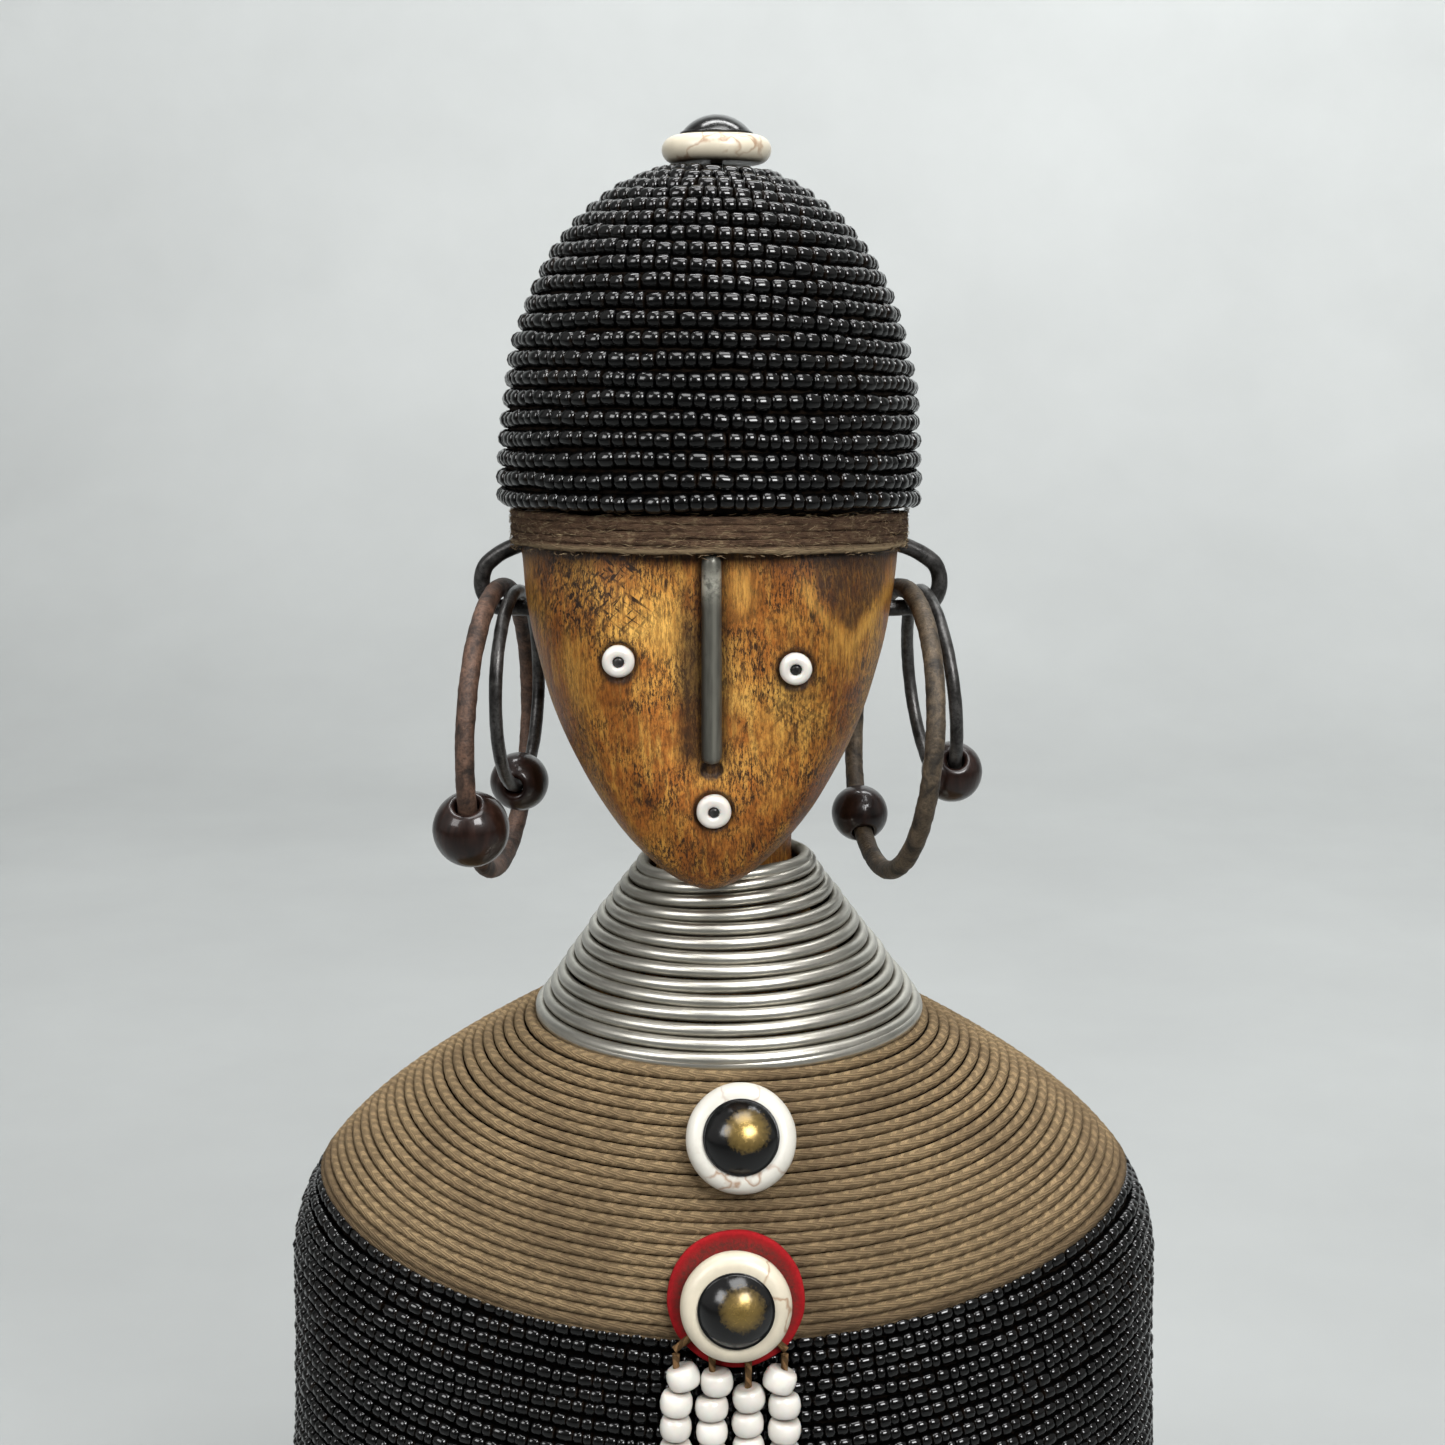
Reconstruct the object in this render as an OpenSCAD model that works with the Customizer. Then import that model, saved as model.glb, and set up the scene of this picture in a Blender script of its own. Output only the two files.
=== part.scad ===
// Beaded fertility doll: a carved wooden figure wound with beads, twine and wire.
// Millimetres, Z up, the face looks along -Y, the origin is the middle of the flat base.

/* [Body] */
// Width of the body over the beads
body_w = 186; // [140:1:240]
// Depth of the body over the beads
body_d = 114; // [90:1:160]
// Height of the top of the shoulders above the base
shoulder_z = 215.7; // [170:0.1:280]
// Height over which the shoulders round off
shoulder_h = 56; // [40:1:80]
// Swell of the body halfway down
body_swell = 2.5; // [0:0.1:6]
// Bare wooden foot under the lowest bead row
foot_h = 8; // [4:0.5:20]

/* [Neck] */
// Diameter over the lowest turn of wire
neck_w = 82; // [60:1:100]
// Diameter over the highest turn of wire
neck_top_w = 37; // [32:0.5:50]
// Height of the wire coil
neck_h = 34; // [24:1:50]
// Shift of the coil's foot along X
neck_shift = 1.2; // [-3:0.1:3]
// Neck wire diameter
neck_wire_d = 2.7; // [2:0.1:3.2]
// Turns of neck wire
neck_turns = 14; // [10:1:18]

/* [Head] */
// Height of the hair line above the base
hairline_z = 313; // [270:1:360]
// Width of the face at the hair line
face_w = 76; // [60:1:90]
// Length of the face from hair line to chin
face_h = 67; // [60:0.5:85]
// Lean of the chin in front of the neck
chin_lean = 16; // [8:0.5:22]
// Slope of the flat front of the face
face_slope = 10; // [4:0.5:15]
// Width of the cap over the beads
cap_w = 86.6; // [70:0.2:100]
// Height of the cap above the cord band
cap_h = 69; // [50:1:90]
// Sideways shift of the head
head_shift = -3; // [-6:0.5:6]
// Backward tilt of the head
head_tilt = 4; // [0:0.5:8]

/* [Windings] */
// Glass bead diameter
bead_d = 3.1; // [2:0.1:4]
// Turns of the cap's bead string
cap_turns = 21; // [12:1:24]
// Turns of the body's bead string, standing in for more and finer rows
body_turns = 18; // [12:1:24]
// Twine diameter on the shoulders
twine_d = 2; // [1.4:0.1:2.6]
// Turns of twine
twine_turns = 23; // [16:1:24]
// Cord diameter of the band under the cap
band_cord_d = 1.7; // [1.2:0.1:2.2]
// Turns of cord in the band
band_turns = 5; // [3:1:7]

/* [Ornaments] */
// Crown disc diameter
crown_d = 22; // [16:0.5:28]
// Chest ring diameter
chest_ring_d = 21.4; // [16:0.2:26]
// Thickness of the stone discs
disc_t = 5.4; // [4:0.2:7]
// Dome nail head diameter
dome_d = 14.8; // [10:0.2:16]
// Dome nail head height
dome_h = 4.2; // [3:0.1:6]
// Nail shank diameter
shank_d = 2.4; // [1.6:0.1:3]
// Red disc diameter
red_d = 26.6; // [22:0.2:34]
// Red disc thickness
red_t = 1.6; // [1:0.1:3]
// Eye bead diameter
eye_d = 6.3; // [4.5:0.1:8]
// Mouth bead diameter
mouth_d = 6.8; // [5:0.1:8]
// Nose bar diameter
nose_d = 4; // [3:0.1:5]
// Nose bar length
nose_l = 40.5; // [25:0.5:46]

/* [Earrings] */
// Ear loop wire diameter
loop_wire_d = 3.2; // [2.4:0.1:3.4]
// Ear loop bend diameter, to the middle of the wire
loop_bend_d = 10.4; // [10:0.2:13]
// Large ring outside diameter
big_ring_d = 62.6; // [40:0.2:64]
// Large ring wire diameter
big_wire_d = 3.9; // [3:0.1:4]
// Small ring outside diameter
small_ring_d = 43; // [30:1:45]
// Small ring wire diameter
small_wire_d = 2.7; // [2:0.1:2.8]
// Backward turn of the ear loops, which turns the fronts of the rings outwards
ear_turn = 12; // [0:1:20]
// Diameters of the wooden beads: left large ring, left small, right large, right small
ring_bead_d = [15.4, 12.2, 12.2, 12.4];
// Place of each bead round its ring, degrees forward of the lowest point
ring_bead_at = [57, 0, -40, 38];
// Outward lean of each ring on its loop, degrees
ring_lean = [1, 0, -4.5, 6];
// Turn of each ring on its loop, its front towards the face, degrees
ring_turn = [4, 4, 0, 3];

/* [Pendant] */
// Glass bead diameter of the pendant strings
string_bead_d = 6.6; // [5:0.1:6.8]
// Glass bead length along the string
string_bead_l = 5; // [4:0.1:6]
// Beads on each string
string_beads = [11, 12, 12, 11];
// Spacing of the strings
string_pitch = 6.95; // [6.9:0.05:8]
// Pendant cord diameter
string_cord_d = 1.4; // [1:0.1:1.8]

/* [Fits] */
// Clearance between parts that do not move
fit = 0.12; // [0.05:0.01:0.25]
// Clearance round parts that swing
play = 0.35; // [0.3:0.05:0.6]
// Gap between neighbouring turns of a winding
turn_gap = 0.6; // [0.5:0.05:1]

/* [Hidden] */
$fn = 64;
body_steps = 20;
head_steps = 14;
half_w = body_w/2;
half_d = body_d/2;
neck_r = neck_w/2;
barrel_z = shoulder_z - shoulder_h;
// Shares of the shoulder height at which twine gives way to beads
twine_side = 0.59;
twine_front = 0.886;
side_power = 2.28;
front_power = 2;
// Steps of a turn that cross over to the next turn
step_over = 3;
// Share of the cap's outline under the beads
cap_full = 0.95;
cap_z = band_turns*band_cord_d + 0.7;
crown_z = cap_z + cap_h - 0.9;
cap_r = cap_w/2;
band_r = cap_r - 2.8;
face_r = face_w/2;
face_y = face_r - 1.5;
string_x0 = 1.2;
crown_shift = 1.5;
wood = "#b07a3a";
glass = "#1b1b1d";

// Half width and half depth of the body at a height, over the windings
function swell(z) = z >= barrel_z ? 0 : body_swell*(1 - cos(360*(barrel_z - z)/barrel_z))/2;
function rise(z) = max(0, (z - barrel_z)/shoulder_h);
function wide(z) = neck_r + (half_w - neck_r)*(1 - pow(rise(z), side_power)) + swell(z);
function deep(z) = neck_r + (half_d - neck_r)*(1 - pow(rise(z), front_power)) + swell(z);
function slope_w(z) = (wide(z + 0.05) - wide(z - 0.05))/0.1;
function slope_d(z) = (deep(z + 0.05) - deep(z - 0.05))/0.1;
function unit(v) = v/norm(v);

// A point on the body at a height and an angle from the front, a depth under the surface
function body_point(z, th, depth) =
    let (a = wide(z), b = deep(z), s = sin(th), c = cos(th),
        n = unit([s/a, -c/b, -s*s*slope_w(z)/a - c*c*slope_d(z)/b]))
    [a*s, -b*c, z] - n*depth;

// Running lengths along a profile against height, from the top down
function run_table(side, top, low, n = 24) =
    let (dz = (top - low)/n)
    [for (i = 0, s = 0; i <= n;
        s = s + dz*norm([1, side ? slope_w(top - (i + 0.5)*dz) : slope_d(top - (i + 0.5)*dz)]), i = i + 1)
        [s, top - i*dz]];
function run_end(t) = t[len(t) - 1][0];
side_run = run_table(true, shoulder_z, shoulder_z - twine_side*shoulder_h);
front_run = run_table(false, shoulder_z, shoulder_z - twine_front*shoulder_h);

// Height of a twine row (0 to 1) or of a bead row (1 to 2) at an angle
function twine_z(v, th) =
    let (zs = lookup(v*run_end(side_run), side_run), zf = lookup(v*run_end(front_run), front_run))
    zs + (zf - zs)*cos(th)*cos(th);
function row_z(v, th) = v <= 1 ? twine_z(v, th)
    : let (z = twine_z(1, th)) z + (foot_h - z)*(v - 1);

// Turns wound so far: each turn runs level and steps to the next one at the back
function wound_turns(i, steps) = floor(i/steps) + max(0, (i % steps - steps + step_over)/step_over);
function wind_angle(i, steps) = 180 + 360*i/steps;

// Winding on the body: a ridge with its foot at one depth and its crest on the surface
function body_rings(v0, v1, turns, thick, half) =
    [for (i = [0:turns*body_steps - step_over])
        let (v = v0 + (v1 - v0)*wound_turns(i, body_steps)/(turns - 1), th = wind_angle(i, body_steps))
        [body_point(row_z(v - half, th), th, thick),
            body_point(row_z(v + half, th), th, thick),
            body_point(row_z(v, th), th, 0)]];

// Outline of the cap over the beads and running length along it
function cap_out(s) = cap_r*sqrt(1 - pow(s, 2.7));
function cap_s(i, n) = 0.985*sin(90*i/n);
cap_run = let (n = 40)
    [for (i = 0, d = 0; i <= n;
        d = d + norm([cap_out(cap_s(i + 1, n)) - cap_out(cap_s(i, n)),
            cap_h*(cap_s(i + 1, n) - cap_s(i, n))]),
        i = i + 1) [d, cap_s(i, n)]];
function cap_point(v, th, depth) =
    let (d = v*run_end(cap_run), s = lookup(d, cap_run), e = 0.004,
        t = unit([cap_out(min(0.999, s + e)) - cap_out(max(0, s - e)), 2*e*cap_h]),
        r = cap_out(s) - t[1]*depth, z = cap_z + s*cap_h + t[0]*depth)
    [r*sin(th), -r*cos(th), z];
function cap_rings(half) =
    [for (i = [0:cap_turns*head_steps - step_over])
        let (v = half + (cap_full - 2*half)*wound_turns(i, head_steps)/(cap_turns - 1),
            th = wind_angle(i, head_steps))
        [cap_point(v + half, th, bead_d), cap_point(v - half, th, bead_d), cap_point(v, th, 0)]];
function band_rings(half) =
    [for (i = [0:band_turns*head_steps - step_over])
        let (z = 0.4 + band_cord_d*(0.5 + wound_turns(i, head_steps)), th = wind_angle(i, head_steps),
            r = band_r - band_cord_d)
        [[r*sin(th), -r*cos(th), z + half], [r*sin(th), -r*cos(th), z - half],
            [band_r*sin(th), -band_r*cos(th), z]]];

// Wire on the cone of the neck
neck_slope = atan2((neck_w - neck_top_w)/2, neck_h);
function coil_rings(half) =
    [for (i = [0:neck_turns*head_steps - step_over])
        let (v = wound_turns(i, head_steps)/(neck_turns - 1), th = wind_angle(i, head_steps),
            r = neck_r - neck_wire_d/2 - v*(neck_w - neck_top_w)/2,
            z = shoulder_z + neck_wire_d/2 + 0.5 + v*(neck_h - neck_wire_d),
            n = [cos(neck_slope), sin(neck_slope)]*neck_wire_d/2,
            t = [-sin(neck_slope), cos(neck_slope)]*half,
            x = neck_shift*(1 - v), q = [n, t, -n, -t])
        [for (p = q) [x + (r + p[0])*sin(th), -(r + p[0])*cos(th), z + p[1]]]];

// Half widths of the strands, as shares of the surface that they cover
function half_share(turns, run) = (1/turns - turn_gap/run)/2;
body_drop = shoulder_z - twine_front*shoulder_h - foot_h;
twine_half = half_share(twine_turns, min(run_end(front_run), run_end(side_run)));
bead_half = half_share(body_turns, body_drop);
cap_half = cap_full*half_share(cap_turns, cap_full*run_end(cap_run));
twine_path = body_rings(twine_half, 1 - twine_half - turn_gap/body_drop, twine_turns, twine_d, twine_half);
beads_path = body_rings(1 + bead_half, 2 - bead_half, body_turns, bead_d, bead_half);
cap_path = cap_rings(cap_half);
band_path = band_rings((band_cord_d - turn_gap)/2);
coil_pitch = norm([(neck_w - neck_top_w)/2, neck_h - neck_wire_d])/(neck_turns - 1);
coil_path = coil_rings((coil_pitch - turn_gap)/2);

// Least distance from each section to the sections one turn on, and on the next turn's neighbours
function least_gap(p, steps) = min([for (i = [0:len(p) - 1 - steps], j = [-1:1])
    let (k = min(len(p) - 1, i + steps + j)) min([for (a = p[i], b = p[k]) norm(a - b)])]);
echo(least_gaps = [for (w = [[twine_path, body_steps], [beads_path, body_steps], [cap_path, head_steps],
    [band_path, head_steps], [coil_path, head_steps]]) least_gap(w[0], w[1])]);

// One unbroken tube through a list of sections
module wound(rings) {
    k = len(rings[0]);
    n = len(rings);
    polyhedron([for (r = rings, p = r) p], concat(
        [for (i = [0:n - 2], j = [0:k - 1]) [i*k + j, i*k + (j + 1)%k, (i + 1)*k + (j + 1)%k]],
        [for (i = [0:n - 2], j = [0:k - 1]) [i*k + j, (i + 1)*k + (j + 1)%k, (i + 1)*k + j]],
        [[for (j = [k - 1:-1:0]) j]], [[for (j = [0:k - 1]) (n - 1)*k + j]]));
}

// The head stands on the hair line, shifted and tilted
module on_head() {
    translate([head_shift, 0, hairline_z])
        rotate([-head_tilt, 0, 0])
            children();
}

// A place on the flat front of the face: across, down from the hair line
module on_face(x, down) {
    translate([x, -face_y + down*sin(face_slope), -down*cos(face_slope)])
        rotate([90 + face_slope, 0, 0])
            children();
}

// A place on the chest: across, height, with the way out along +Z
module on_chest(x, z) {
    translate(body_point(z, asin(x/wide(z)), 0))
        rotate([90 + atan(slope_d(z)), 0, 0])
            children();
}

// Disc with a fully rounded rim, a hole through it
module round_disc(d, t, hole) {
    rotate_extrude()
        difference() {
            union() {
                translate([d/2 - t/2, t/2])
                    circle(d = t, $fn = 32);
                square([d/2 - t/2, t]);
            }
            translate([-1, -1])
                square([1 + hole/2, t + 2]);
        }
}

// Dome nail with its head's underside at zero and its shank along -Z
module dome_nail(shank) {
    r = (dome_h*dome_h + dome_d*dome_d/4)/(2*dome_h);
    intersection() {
        translate([0, 0, dome_h - r])
            sphere(r);
        cylinder(d = dome_d, h = dome_h);
    }
    translate([0, 0, -shank])
        cylinder(d = shank_d, h = shank + 0.5, $fn = 24);
}

upper_z = shoulder_z - 0.216*shoulder_h;
lower_z = shoulder_z - 0.73*shoulder_h;
upper_x = 3.3;
lower_x = 2.3;
chest_lift = 0.25;

module torso_core() {
    inset = twine_d + fit;
    bead_inset = bead_d + 3*fit;
    k = body_steps;
    angles = [for (j = [0:k - 1]) 360*j/k];
    rings = concat(
        [for (v = [0:0.12:0.96]) [for (th = angles) body_point(row_z(v, th), th, inset)]],
        [for (i = [0:12]) let (v = i == 0 ? 0.985 : 1 + i/12)
            [for (th = angles) body_point(row_z(v, th), th, bead_inset)]],
        [[for (th = angles) let (p = body_point(foot_h, th, bead_inset)) [p[0], p[1], 0]]]);
    n = len(rings);
    top = n*k;
    polyhedron(concat([for (r = rings, p = r) p], [[0, 0, rings[0][0][2] - 1]]), concat(
        [for (i = [0:n - 2], j = [0:k - 1]) [i*k + j, (i + 1)*k + (j + 1)%k, i*k + (j + 1)%k]],
        [for (i = [0:n - 2], j = [0:k - 1]) [i*k + j, (i + 1)*k + j, (i + 1)*k + (j + 1)%k]],
        [for (j = [0:k - 1]) [j, (j + 1)%k, top]],
        [[for (j = [0:k - 1]) (n - 1)*k + j]]));
}

// Laps of the neck with the body and inside the head
neck_lap = 6;
neck_into_head = 42;

module neck_core() {
    shrink = cos(180/head_steps);
    wall = neck_wire_d/cos(neck_slope);
    low = (neck_r - wall)*shrink - fit - neck_shift;
    high = (neck_top_w/2 - wall)*shrink - fit;
    translate([0, 0, shoulder_z - neck_lap])
        cylinder(r = low, h = neck_lap);
    translate([0, 0, shoulder_z])
        cylinder(r1 = low, r2 = high, h = neck_h - 1.5);
    translate([0, 0, shoulder_z + neck_h - neck_lap])
        cylinder(r = high, h = neck_lap + neck_into_head);
}

// Space that the wire coil needs under the chin
module coil_space() {
    room = 0.6;
    translate([neck_shift/2, 0, shoulder_z])
        cylinder(r1 = neck_r + room + 1, r2 = neck_top_w/2 + room, h = neck_h + 0.5);
}

// Lap of the face with the head under the band
hair_lap = 14;

module face_blank() {
    n = 16;
    intersection() {
        union() {
            rotate([-chin_lean, 0, 0])
                rotate_extrude()
                    polygon(concat([[0, hair_lap], [face_r, hair_lap]],
                        [for (i = [0:n]) let (s = sin(90*i/n))
                            [face_r*pow(max(0, 1 - pow(s, 1.7)), 0.62), -face_h/cos(chin_lean)*s]]));
            translate([0, 0, -0.7*face_h])
                cylinder(r1 = neck_top_w/2 - neck_wire_d, r2 = face_r - 0.5, h = 0.7*face_h);
        }
        rotate([90, 0, 90])
            linear_extrude(2*face_w, center = true)
                polygon([[-face_y, 0],
                    [-face_y + 0.82*face_h*tan(face_slope), -0.82*face_h],
                    [-face_y + face_h*tan(face_slope) + 3, -face_h],
                    [0, -face_h - 4], [face_w, -face_h - 4], [face_w, 0]]);
    }
}

module cap_core() {
    shrink = cos(180/head_steps);
    n = 14;
    cylinder(r = (band_r - band_cord_d)*shrink - fit, h = cap_z + 1);
    rotate_extrude()
        polygon(concat([[0, 0.5]],
            [for (i = [0:n]) let (p = cap_point(i/n*0.985, 0, bead_d)) [-p[1]*shrink - fit, p[2] - fit]],
            [[0, cap_point(0.985, 0, bead_d)[2] - fit]]));
    translate([crown_shift, 0, 0])
        cylinder(d = crown_d - 2*disc_t, h = crown_z - fit);
}

// Eyes and mouth: places across and down, sockets and pins
eye_x = [-17.3, 16.8, 1];
eye_down = [20, 21.5, 50.5];
socket_in = 1.2;
face_bead_t = 2.8;
pin_d = 2;
pin_in = 9;
pin_out = 1.2;
// Depth of the nails in the wood, and of their holes past the points
crown_nail_in = 14;
chest_nail_in = 11.5;
hole_past = 4;
nose_x = 0.6;
nose_lift = 0.6;

module carved_figure() {
    color(wood)
        difference() {
            union() {
                torso_core();
                neck_core();
                difference() {
                    on_head()
                        face_blank();
                    coil_space();
                }
                on_head()
                    cap_core();
            }
            on_head() {
                for (i = [0:2])
                    on_face(eye_x[i], eye_down[i]) {
                        translate([0, 0, -socket_in])
                            cylinder(d = (i == 2 ? mouth_d : eye_d) + 2*fit, h = 6, $fn = 32);
                        translate([0, 0, -pin_in])
                            cylinder(d = pin_d + 2*fit, h = pin_in, $fn = 24);
                    }
                on_face(nose_x, 0) {
                    translate([0, 0, nose_lift])
                        rotate([90, 0, 0])
                            cylinder(d = nose_d + 2*fit, h = nose_l + 0.4 - nose_d/2, $fn = 32);
                    translate([0, -nose_l - 0.4 + nose_d/2, nose_lift])
                        sphere(d = nose_d + 2*fit, $fn = 32);
                }
                translate([crown_shift, 0, crown_z - crown_nail_in - hole_past])
                    cylinder(d = shank_d + 2*fit, h = crown_nail_in + hole_past + 2, $fn = 24);
            }
            for (side = [-1, 1])
                ear_holes(side);
            for (p = [[upper_x, upper_z], [lower_x, lower_z]])
                on_chest(p[0], p[1])
                    translate([0, 0, -chest_nail_in - hole_past])
                        cylinder(d = shank_d + 2*fit, h = chest_nail_in + hole_past + 2, $fn = 24);
        }
}

module cap_beads() {
    color(glass)
        on_head()
            wound(cap_path);
}

module cap_cord_band() {
    color("#54402f")
        on_head()
            wound(band_path);
}

module crown_disc() {
    color("#ece4d2")
        on_head()
            translate([crown_shift, 0, crown_z])
                round_disc(crown_d, disc_t, shank_d + 2*fit);
}

module crown_nail() {
    color("#222222")
        on_head()
            translate([crown_shift, 0, crown_z + disc_t + fit])
                dome_nail(disc_t + crown_nail_in);
}

module nose_bar() {
    color("#4a4a4c")
        on_head()
            on_face(nose_x, 0) {
                translate([0, -0.3 - nose_d/2, nose_lift])
                    rotate([90, 0, 0])
                        cylinder(d = nose_d, h = nose_l - nose_d, $fn = 32);
                for (y = [0.3 + nose_d/2, nose_l + 0.3 - nose_d/2])
                    translate([0, -y, nose_lift])
                        sphere(d = nose_d, $fn = 32);
            }
}

// Ring beads set in shallow sockets, each held by a pin
module face_bead(i) {
    color("#efeae0")
        on_head()
            on_face(eye_x[i], eye_down[i])
                translate([0, 0, -socket_in + fit])
                    round_disc(i == 2 ? mouth_d : eye_d, face_bead_t, pin_d + 2*fit);
}

module face_pin(i) {
    color("#2b2b2d")
        on_head()
            on_face(eye_x[i], eye_down[i])
                translate([0, 0, -pin_in + fit])
                    cylinder(d = pin_d, h = pin_in + pin_out, $fn = 24);
}

// Ear loop: an upright staple, its two legs let into the side of the head
loop_r = loop_bend_d/2;
loop_z = hairline_z - loop_wire_d/2 - loop_r - 0.1;
ear_x = face_r - 0.4;
leg_in = 9;

// Rings hang side by side on the lower leg; places run outwards from the head along the leg
head_gap = 0.8;
ring_space = 0.45;
function wire_d(i) = i % 2 == 0 ? big_wire_d : small_wire_d;
function ring_r(i) = (i % 2 == 0 ? big_ring_d : small_ring_d)/2 - wire_d(i)/2;
function ring_out(i) = head_gap + wire_d(i)/2
    + (i == 0 ? small_wire_d + ring_space : i == 3 ? big_wire_d + ring_space : 0);
function loop_reach(side) = ring_out(side < 0 ? 0 : 3) - play;

// Drawn for the left ear, with the leg along X and the way out along -X, and mirrored for the right
module at_ear(side) {
    translate([head_shift, 0, loop_z])
        mirror([side > 0 ? 1 : 0, 0, 0])
            translate([-ear_x, 0, 0])
                rotate([0, 0, -ear_turn])
                    children();
}

module ear_holes(side) {
    at_ear(side)
        for (s = [-1, 1])
            translate([-loop_reach(side), 0, s*loop_r])
                rotate([0, 90, 0])
                    cylinder(d = loop_wire_d + 2*fit, h = loop_reach(side) + leg_in + fit, $fn = 32);
}

module ear_loop(side) {
    color("#3a3836")
        at_ear(side) {
            translate([-loop_reach(side), 0, 0])
                rotate([90, 0, 0])
                    rotate([0, 0, 90])
                        rotate_extrude(angle = 180)
                            translate([loop_r, 0])
                                circle(d = loop_wire_d, $fn = 32);
            for (s = [-1, 1])
                translate([-loop_reach(side) - 0.01, 0, s*loop_r])
                    rotate([0, 90, 0])
                        cylinder(d = loop_wire_d, h = loop_reach(side) + leg_in, $fn = 32);
        }
}

// Ring frame: at the ring's centre, X along the ring's axis
module at_ring(i) {
    at_ear(i < 2 ? -1 : 1)
        translate([-ring_out(i), 0, -loop_r + (wire_d(i) + loop_wire_d)/2 + play])
            rotate([0, ring_lean[i], ring_turn[i]])
                translate([0, 0, -ring_r(i)])
                    children();
}

module ear_ring(i) {
    color(i % 2 == 0 ? "#5d4030" : "#37342f")
        at_ring(i)
            rotate([0, 90, 0])
                rotate_extrude($fn = 96)
                    translate([ring_r(i), 0])
                        circle(d = wire_d(i), $fn = 32);
}

module ring_bead(i) {
    d = ring_bead_d[i];
    flat = 0.88*d;
    sag = ring_r(i) - sqrt(ring_r(i)*ring_r(i) - flat*flat/4);
    bore = wire_d(i) + sag + 2*fit;
    color("#3d1b12")
        at_ring(i)
            rotate([-ring_bead_at[i], 0, 0])
                translate([0, 0, -ring_r(i)])
                    rotate([90, 0, 0])
                        difference() {
                            intersection() {
                                sphere(d = d, $fn = 48);
                                cube([2*d, 2*d, flat], center = true);
                            }
                            translate([0, sag/2, 0])
                                cylinder(d = bore, h = 2*d, center = true, $fn = 32);
                        }
}

module neck_coil() {
    color("#c9cacb")
        wound(coil_path);
}

module shoulder_twine() {
    color("#8f7a58")
        difference() {
            wound(twine_path);
            for (p = [[upper_x, upper_z], [lower_x, lower_z]])
                on_chest(p[0], p[1])
                    translate([0, 0, -6])
                        cylinder(d = shank_d + 4*fit, h = 8, $fn = 16);
        }
}

module body_beads() {
    color(glass)
        wound(beads_path);
}

module upper_chest_ring() {
    color("#ece4d2")
        on_chest(upper_x, upper_z)
            translate([0, 0, chest_lift])
                round_disc(chest_ring_d, disc_t, shank_d + 2*fit);
}

module upper_chest_nail() {
    color("#3b2f1c")
        on_chest(upper_x, upper_z)
            translate([0, 0, chest_lift + disc_t + fit])
                dome_nail(disc_t + chest_nail_in);
}

// The pendant cords are tied round the lower nail between the red disc and the ring
tie_t = string_cord_d + 0.8;
ring_lift = chest_lift + red_t + tie_t;

module red_disc() {
    color("#b3202a")
        on_chest(lower_x, lower_z)
            translate([0, 0, chest_lift])
                difference() {
                    cylinder(d = red_d, h = red_t);
                    translate([0, 0, -1])
                        cylinder(d = shank_d + 2*fit, h = red_t + 2, $fn = 24);
                }
}

module lower_chest_ring() {
    color("#e8dcc2")
        on_chest(lower_x, lower_z)
            translate([0, 0, ring_lift])
                round_disc(chest_ring_d, disc_t, shank_d + 2*fit);
}

module lower_chest_nail() {
    color("#3b2f1c")
        on_chest(lower_x, lower_z)
            translate([0, 0, ring_lift + disc_t + fit])
                dome_nail(ring_lift + disc_t + chest_nail_in);
}

// Pendant: cords tied round the nail run down behind the ring, and the strings swing from their ends
chest_tip = -atan(slope_d(lower_z));
tie_out = chest_lift + red_t + tie_t/2;
tie_down = chest_ring_d/2 - 1.5;
swing_down = tie_down + string_cord_d/2 + play;
swing_y = -deep(lower_z) - tie_out*cos(chest_tip) - swing_down*sin(chest_tip);
swing_z = lower_z + tie_out*sin(chest_tip) - swing_down*cos(chest_tip);
function string_x(i) = string_x0 + (i - 2.5)*string_pitch;
// Cord that shows above the first bead of each string
string_drop = [2.4, 3.3, 6.6, 2.9];
// The strings lean out just enough to lie along the swell of the body
string_lean = max([for (i = [0:3], k = [0:string_beads[i] - 1])
    let (d = string_drop[i] + (k + 0.5)*string_bead_l)
    atan((deep(swing_z - d) + string_bead_d/2 + fit + swing_y)/d)]);

module at_string(i) {
    translate([string_x(i), swing_y, swing_z])
        rotate([-string_lean, 0, 0])
            children();
}

module pendant_tie() {
    color("#7a5636")
        on_chest(lower_x, lower_z)
            translate([0, 0, tie_out]) {
                rotate_extrude()
                    translate([(shank_d + string_cord_d)/2 + fit, 0])
                        circle(d = string_cord_d, $fn = 24);
                for (i = [1:4])
                    let (x = string_x(i) - lower_x)
                        rotate([0, 0, atan2(-tie_down, x)])
                            translate([(shank_d + string_cord_d)/2, 0, 0])
                                rotate([0, 90, 0])
                                    cylinder(d = string_cord_d,
                                        h = norm([x, tie_down]) - (shank_d + string_cord_d)/2, $fn = 24);
            }
}

// Cord of one string, from its swinging end down to the knot under the last bead
module string_cord(i) {
    low = string_drop[i - 1] + string_beads[i - 1]*string_bead_l + string_cord_d;
    color("#7a5636")
        at_string(i) {
            sphere(d = string_cord_d, $fn = 24);
            translate([0, 0, -low]) {
                cylinder(d = string_cord_d, h = low, $fn = 24);
                sphere(d = 2*string_cord_d, $fn = 24);
            }
        }
}

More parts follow.
